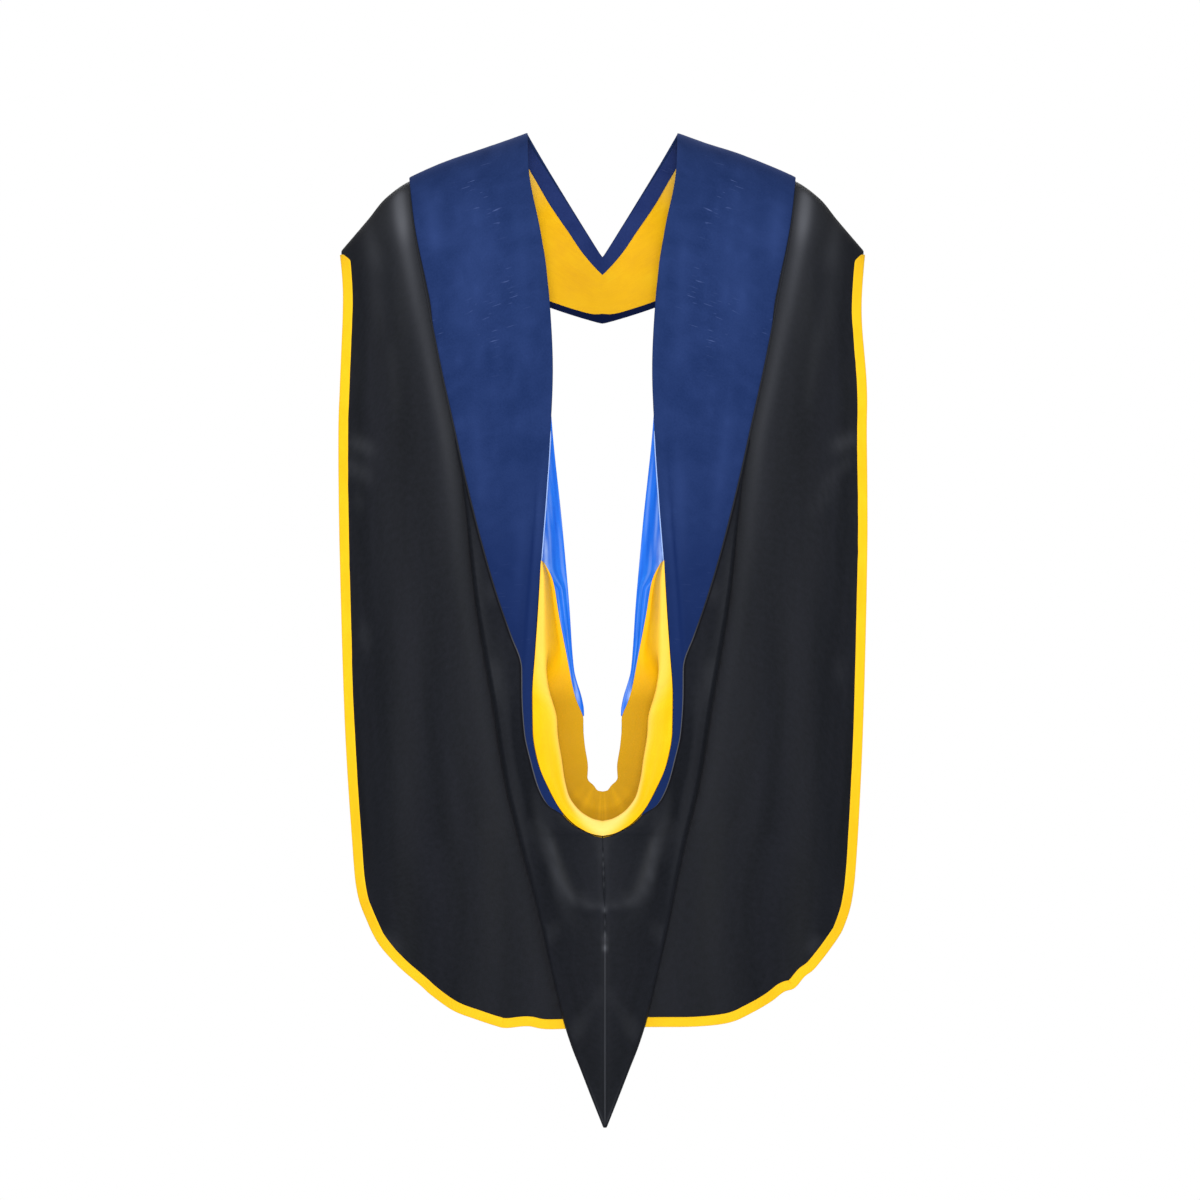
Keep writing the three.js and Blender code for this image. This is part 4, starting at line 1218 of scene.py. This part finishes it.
def srgb(red, green, blue):
    """Colour for the shader from the eight-bit numbers of a paint program."""
    linear = [(x / 255 / 12.92) if x / 255 <= 0.04045 else ((x / 255 + 0.055) / 1.055) ** 2.4
              for x in (red, green, blue)]
    return (*linear, 1.0)


def blend(share, low, high):
    """A colour between two others."""
    inputs = {COLOUR_MIX["Factor"]: share, COLOUR_MIX["A"]: low, COLOUR_MIX["B"]: high}
    return share.node("ShaderNodeMix", inputs, out=COLOUR_MIX["Result"], data_type="RGBA")


def window(value, low, high):
    """0 below low, 1 above high."""
    inputs = {0: value, 1: low, 2: high}
    return value.node("ShaderNodeMapRange", inputs)


print("black cloth in linear light:", [round(x, 3) for x in srgb(39, 41, 47)])

# %% [markdown]
# A weave has a real pitch, so each finish starts from the map in metres that the cloths carry. Noise that
# is scaled more one way than the other becomes threads or bands. Colour, roughness and bump then go to
# the one shader, and a number that is the same all over the cloth is set on the shader itself.

# %% Surfaces in metres and their noise
def start_material(name):
    material = bpy.data.materials.new(name)
    material.use_nodes = True
    tree = material.node_tree
    shader = tree.nodes["Principled BSDF"]
    place = Value(tree).node("ShaderNodeUVMap", {}, uv_map="cloth")
    return material, shader, place


def toned(place, colour, pale, deep):
    """The colour, with painted highlight and painted shade from the pale and deep shares of the second map.
    """
    tone = place.node("ShaderNodeUVMap", {}, uv_map="tone")
    lit = blend(place.node("ShaderNodeSeparateXYZ", {"Vector": tone}, out="X"), colour, pale)
    return blend(place.node("ShaderNodeSeparateXYZ", {"Vector": tone}, out="Y"), lit, deep)


def scaled(place, across, along, turn=0.0):
    """The cloth's own place, with each axis scaled, then turned."""
    inputs = {"Vector": place, "Scale": (across, along, 1), "Rotation": (0, 0, turn)}
    return place.node("ShaderNodeMapping", inputs)


def noise(place, scale, detail=3.0, roughness=0.5, distortion=0.0):
    inputs = {
        "Vector": place, "Scale": scale, "Detail": detail, "Roughness": roughness, "Distortion": distortion,
    }
    return place.node("ShaderNodeTexNoise", inputs)


WAVE_TURN = 0.314
CLOTH_IOR = 1.45


def ribs(place, pitch, distortion=0.0, direction="X"):
    """Parallel ribs with that pitch in metres."""
    inputs = {"Vector": place, "Scale": WAVE_TURN / pitch, "Distortion": distortion, "Detail": 1.0}
    return place.node("ShaderNodeTexWave", inputs, out="Fac", wave_type="BANDS", bands_direction=direction)


def close_material(shader, colour, roughness, height, depth, **fixed):
    tree = shader.id_data
    tree.links.new(colour.socket, shader.inputs["Base Color"])
    tree.links.new(roughness.socket, shader.inputs["Roughness"])
    bump = height.node("ShaderNodeBump", {"Height": height, "Distance": depth, "Strength": 1.0})
    tree.links.new(bump.socket, shader.inputs["Normal"])
    for name, value in fixed.items():
        shader.inputs[name.replace("_", " ")].default_value = value
    shader.inputs["IOR"].default_value = CLOTH_IOR


print("colour and roughness vary; the IOR is", CLOTH_IOR, "on every cloth")

# %% [markdown]
# The black cloth is a fine weave: almost matt, with soft vertical bands where the light catches it. Its
# threads are about a millimetre apart, finer than the picture shows, so they only break the gloss.

# %% Black cloth
TWILL_PITCH = 0.0011
TWILL_SLANT = 38
TWILL_BUMP = 0.00016


def twill(place, pitch):
    """A fine twill: diagonal ribs broken by cross threads."""
    diagonal = ribs(scaled(place, 1, 1, math.radians(TWILL_SLANT)), pitch, 0.4)
    cross = ribs(place, pitch * 1.3, 0.4, "Y")
    return diagonal * 0.7 + cross * 0.3


def black_cloth():
    material, shader, place = start_material("black_cloth")
    bands = noise(scaled(place, 26, 3), 1.0, 2.0)
    mottle = noise(scaled(place, 1, 1), 160, 4.0, 0.6)
    fibre = noise(scaled(place, 900, 240), 1.0, 2.0)
    share = bands * 0.5 + mottle * 0.35 + fibre * 0.15
    plain = blend(window(share, 0.36, 0.64), srgb(13, 16, 21), srgb(25, 27, 34))
    # Painted highlight and painted shade: the colours that the pale and deep shares bring in.
    colour = toned(place, plain, srgb(84, 86, 92), srgb(8, 8, 14))
    roughness = 0.42 + bands * 0.18 + mottle * 0.1
    height = twill(place, TWILL_PITCH) * 0.6 + fibre * 0.4 + mottle * 0.5
    close_material(shader, colour, roughness, height, TWILL_BUMP, Specular_IOR_Level=0.12, Sheen_Weight=0.01,
                   Sheen_Roughness=0.4)
    return material


print("black cloth, pitch of the twill in mm:", TWILL_PITCH / MM)

# %% [markdown]
# Velvet scatters light at its edges and looks deep where you face it, which is what a sheen does. Its nap
# lies unevenly: pale patches where it is brushed the other way, and a few short strokes.

# %% Navy velvet
def navy_velvet(name, low, high, pale, deep, strokes):
    material, shader, place = start_material(name)
    patches = noise(scaled(place, 22, 30), 1.0, 4.0, 0.6, 0.4)
    nap = noise(scaled(place, 1, 1), 420, 3.0, 0.6)
    stroke = noise(scaled(place, 55, 430, 0.2), 1.0, 1.0, 0.4, 0.5)
    cluster = noise(scaled(place, 13, 8, 0.4), 1.0, 1.0)
    scratch = window(stroke, 0.67, 0.78) * window(cluster, 0.54, 0.68) * strokes
    share = window(patches, 0.3, 0.7) * 0.6 + window(nap, 0.3, 0.7) * 0.4
    plain = blend(scratch, blend(share, low, high), srgb(108, 128, 186))
    colour = toned(place, plain, pale, deep)
    roughness = 0.86 + nap * 0.1
    height = nap * 0.7 + patches * 0.5 + scratch * 0.3
    close_material(shader, colour, roughness, height, 0.0003, Specular_IOR_Level=0.08, Sheen_Weight=0.12,
                   Sheen_Roughness=0.45, Sheen_Tint=srgb(110, 130, 205))
    return material


# Colours of painted highlight and painted shade for the velvet and its trims.
NAVY_PALE = srgb(52, 73, 128)
NAVY_DEEP = srgb(17, 36, 82)
TRIM_DEEP = srgb(6, 15, 48)
print("navy in linear light, pale and deep:", [round(x, 3) for x in (*NAVY_PALE[:3], *NAVY_DEEP[:3])])

# %% [markdown]
# Satin shines along its threads. Long thin noise in the roughness stretches each highlight the same way,
# and the same noise in the bump pulls it into fine streaks.

# %% Satin linings
SATIN_BUMP = 0.00035


def satin(name, low, plain, high, pale, deep, streaks):
    material, shader, place = start_material(name)
    thread = noise(scaled(place, streaks, 40), 1.0, 3.0, 0.6)
    cloud = noise(scaled(place, 34, 26), 1.0, 3.0, 0.55, 0.3)
    grain = noise(scaled(place, 1, 1), 1300, 2.0)
    share = cloud * 0.6 + thread * 0.3 + grain * 0.1
    middle = blend(window(share, 0.25, 0.55), low, plain)
    colour = toned(place, blend(window(share, 0.55, 0.8), middle, high), pale, deep)
    roughness = 0.42 + thread * 0.16 + cloud * 0.08
    height = thread * 0.6 + cloud * 0.8 + grain * 0.15
    close_material(shader, colour, roughness, height, SATIN_BUMP, Specular_IOR_Level=0.1, Sheen_Weight=0.01)
    return material


print("depth of the satin's threads, mm:", SATIN_BUMP / MM)

# %% [markdown]
# The binding is a narrow woven tape, brighter and rougher than the satin. Slanting ribs make its weave,
# and a slow noise makes it a little uneven. It has no tone of its own to follow, so it needs no second
# map.

# %% Yellow binding
TAPE_PITCH = 0.0016
TAPE_SLANT = 62
TAPE_BUMP = 0.0003


def yellow_piping():
    material, shader, place = start_material("yellow_piping")
    twist = ribs(scaled(place, 1, 1, math.radians(TAPE_SLANT)), TAPE_PITCH, 0.6)
    worn = noise(scaled(place, 60, 22), 1.0, 3.0, 0.6)
    share = worn * 0.7 + twist * 0.3
    colour = blend(window(share, 0.25, 0.75), srgb(244, 188, 14), srgb(253, 203, 26))
    roughness = 0.56 + twist * 0.12
    height = twist * 0.7 + worn * 0.6
    close_material(shader, colour, roughness, height, TAPE_BUMP, Specular_IOR_Level=0.15, Sheen_Weight=0.04)
    return material


MATERIALS = {
    "black_cloth": black_cloth(),
    "navy_velvet": navy_velvet("navy_velvet", srgb(22, 41, 84), srgb(36, 55, 103),
                               NAVY_PALE, NAVY_DEEP, 0.55),
    "navy_trim": navy_velvet("navy_trim", srgb(30, 46, 99), srgb(43, 60, 115),
                             NAVY_PALE, TRIM_DEEP, 0.25),
    # The last two colours of each satin are those of its painted highlight and painted shade.
    "gold_satin": satin("gold_satin", srgb(241, 177, 4), srgb(251, 191, 10), srgb(255, 204, 28),
                        srgb(253, 222, 132), srgb(190, 142, 0), 420),
    "blue_satin": satin("blue_satin", srgb(12, 94, 208), srgb(24, 108, 222), srgb(48, 126, 232),
                        srgb(166, 192, 240), srgb(6, 82, 198), 520),
    "yellow_piping": yellow_piping(),
}
for piece, slot in made.items():
    piece.data.materials.append(MATERIALS[slot])
print("materials:", sorted(MATERIALS))

# %% [markdown]
# The picture shows the hood alone against white, lit softly from all round. The camera stands twenty
# metres back and level, so the hood looks almost flat, as in the photograph.

# %% Camera
FRAME_MM = 1352
SENSOR_MM = 36
CAMERA_DISTANCE = 20.0
VIEW_CENTRE = Vector((-0.0028, -0.05, -0.526))

camera_data = bpy.data.cameras.new("camera")
camera_data.sensor_width = SENSOR_MM
camera_data.lens = SENSOR_MM * CAMERA_DISTANCE / (FRAME_MM * MM)
camera = bpy.data.objects.new("camera", camera_data)
camera.location = VIEW_CENTRE + Vector((0, -CAMERA_DISTANCE, 0))
camera.rotation_euler = (math.pi / 2, 0, 0)
bpy.context.scene.collection.objects.link(camera)
bpy.context.scene.camera = camera
bpy.context.scene.view_settings.view_transform = "Standard"
print("lens, mm:", round(camera_data.lens, 1))

# %% [markdown]
# A studio lights cloth with large soft lamps, so that folds are shaded gently. Two lamps near the camera
# do most of it, one high at each side draws out the folds, and one in front of the wearer keeps the
# inside from going black. The background is white where the camera sees it and dimmer as a light, because
# full white would wash out the black cloth.

# %% Soft studio light
WORLD_LIGHT = 0.36
LAMPS = table("x y z size power", [
    (0, -5, -0.15, 0.6, 146), (0.2, -4.6, -2.2, 1.0, 52), (-1.7, -1.5, 2.1, 1.2, 26),
    (1.9, -1.8, 1.5, 1.4, 14), (0, 3.2, 1.6, 2.6, 60),
])


def set_world():
    world = bpy.data.worlds.new("studio")
    world.use_nodes = True
    tree = world.node_tree
    shade = tree.nodes["Background"]
    shade.inputs["Color"].default_value = (1, 1, 1, 1)
    seen = Value(tree).node("ShaderNodeLightPath", {}, out="Is Camera Ray")
    strength = seen * (1 - WORLD_LIGHT) + WORLD_LIGHT
    tree.links.new(strength.socket, shade.inputs["Strength"])
    bpy.context.scene.world = world


def set_lamp(number, x, y, z, size, power):
    light = bpy.data.lights.new(f"lamp_{number}", "AREA")
    light.shape = "DISK"
    light.size = size
    light.energy = power
    lamp = bpy.data.objects.new(f"lamp_{number}", light)
    lamp.location = (x, y, z)
    aim = VIEW_CENTRE - lamp.location
    lamp.rotation_euler = aim.to_track_quat("-Z", "Y").to_euler()
    bpy.context.scene.collection.objects.link(lamp)


set_world()
for number, row in enumerate(zip(*LAMPS.values())):
    set_lamp(number, *(float(value) for value in row))
print("lamps:", len(LAMPS["power"]), "watts in all:", LAMPS["power"].sum())

# %% [markdown]
# The hood hangs in the air, as it does in the photograph, where no floor is seen. A plain pale floor lies
# well below the tip of the tail, out of the photograph's view.

# %% Floor
FLOOR_SIZE = 3.2
FLOOR_Z = -1.35


def floor():
    signs = ((-1, -1), (1, -1), (1, 1), (-1, 1))
    corners = [(x * FLOOR_SIZE / 2, y * FLOOR_SIZE / 2, FLOOR_Z) for x, y in signs]
    mesh = bpy.data.meshes.new("floor")
    mesh.from_pydata(corners, [], [(0, 1, 2, 3)])
    piece = bpy.data.objects.new("floor", mesh)
    bpy.context.scene.collection.objects.link(piece)
    material = bpy.data.materials.new("pale_floor")
    material.use_nodes = True
    shader = material.node_tree.nodes["Principled BSDF"]
    shader.inputs["Base Color"].default_value = srgb(236, 236, 238)
    shader.inputs["Roughness"].default_value = 0.8
    mesh.materials.append(material)


floor()
print("floor below the tip of the tail, m:", round(-BACK_LENGTH * MM - FLOOR_Z, 2))
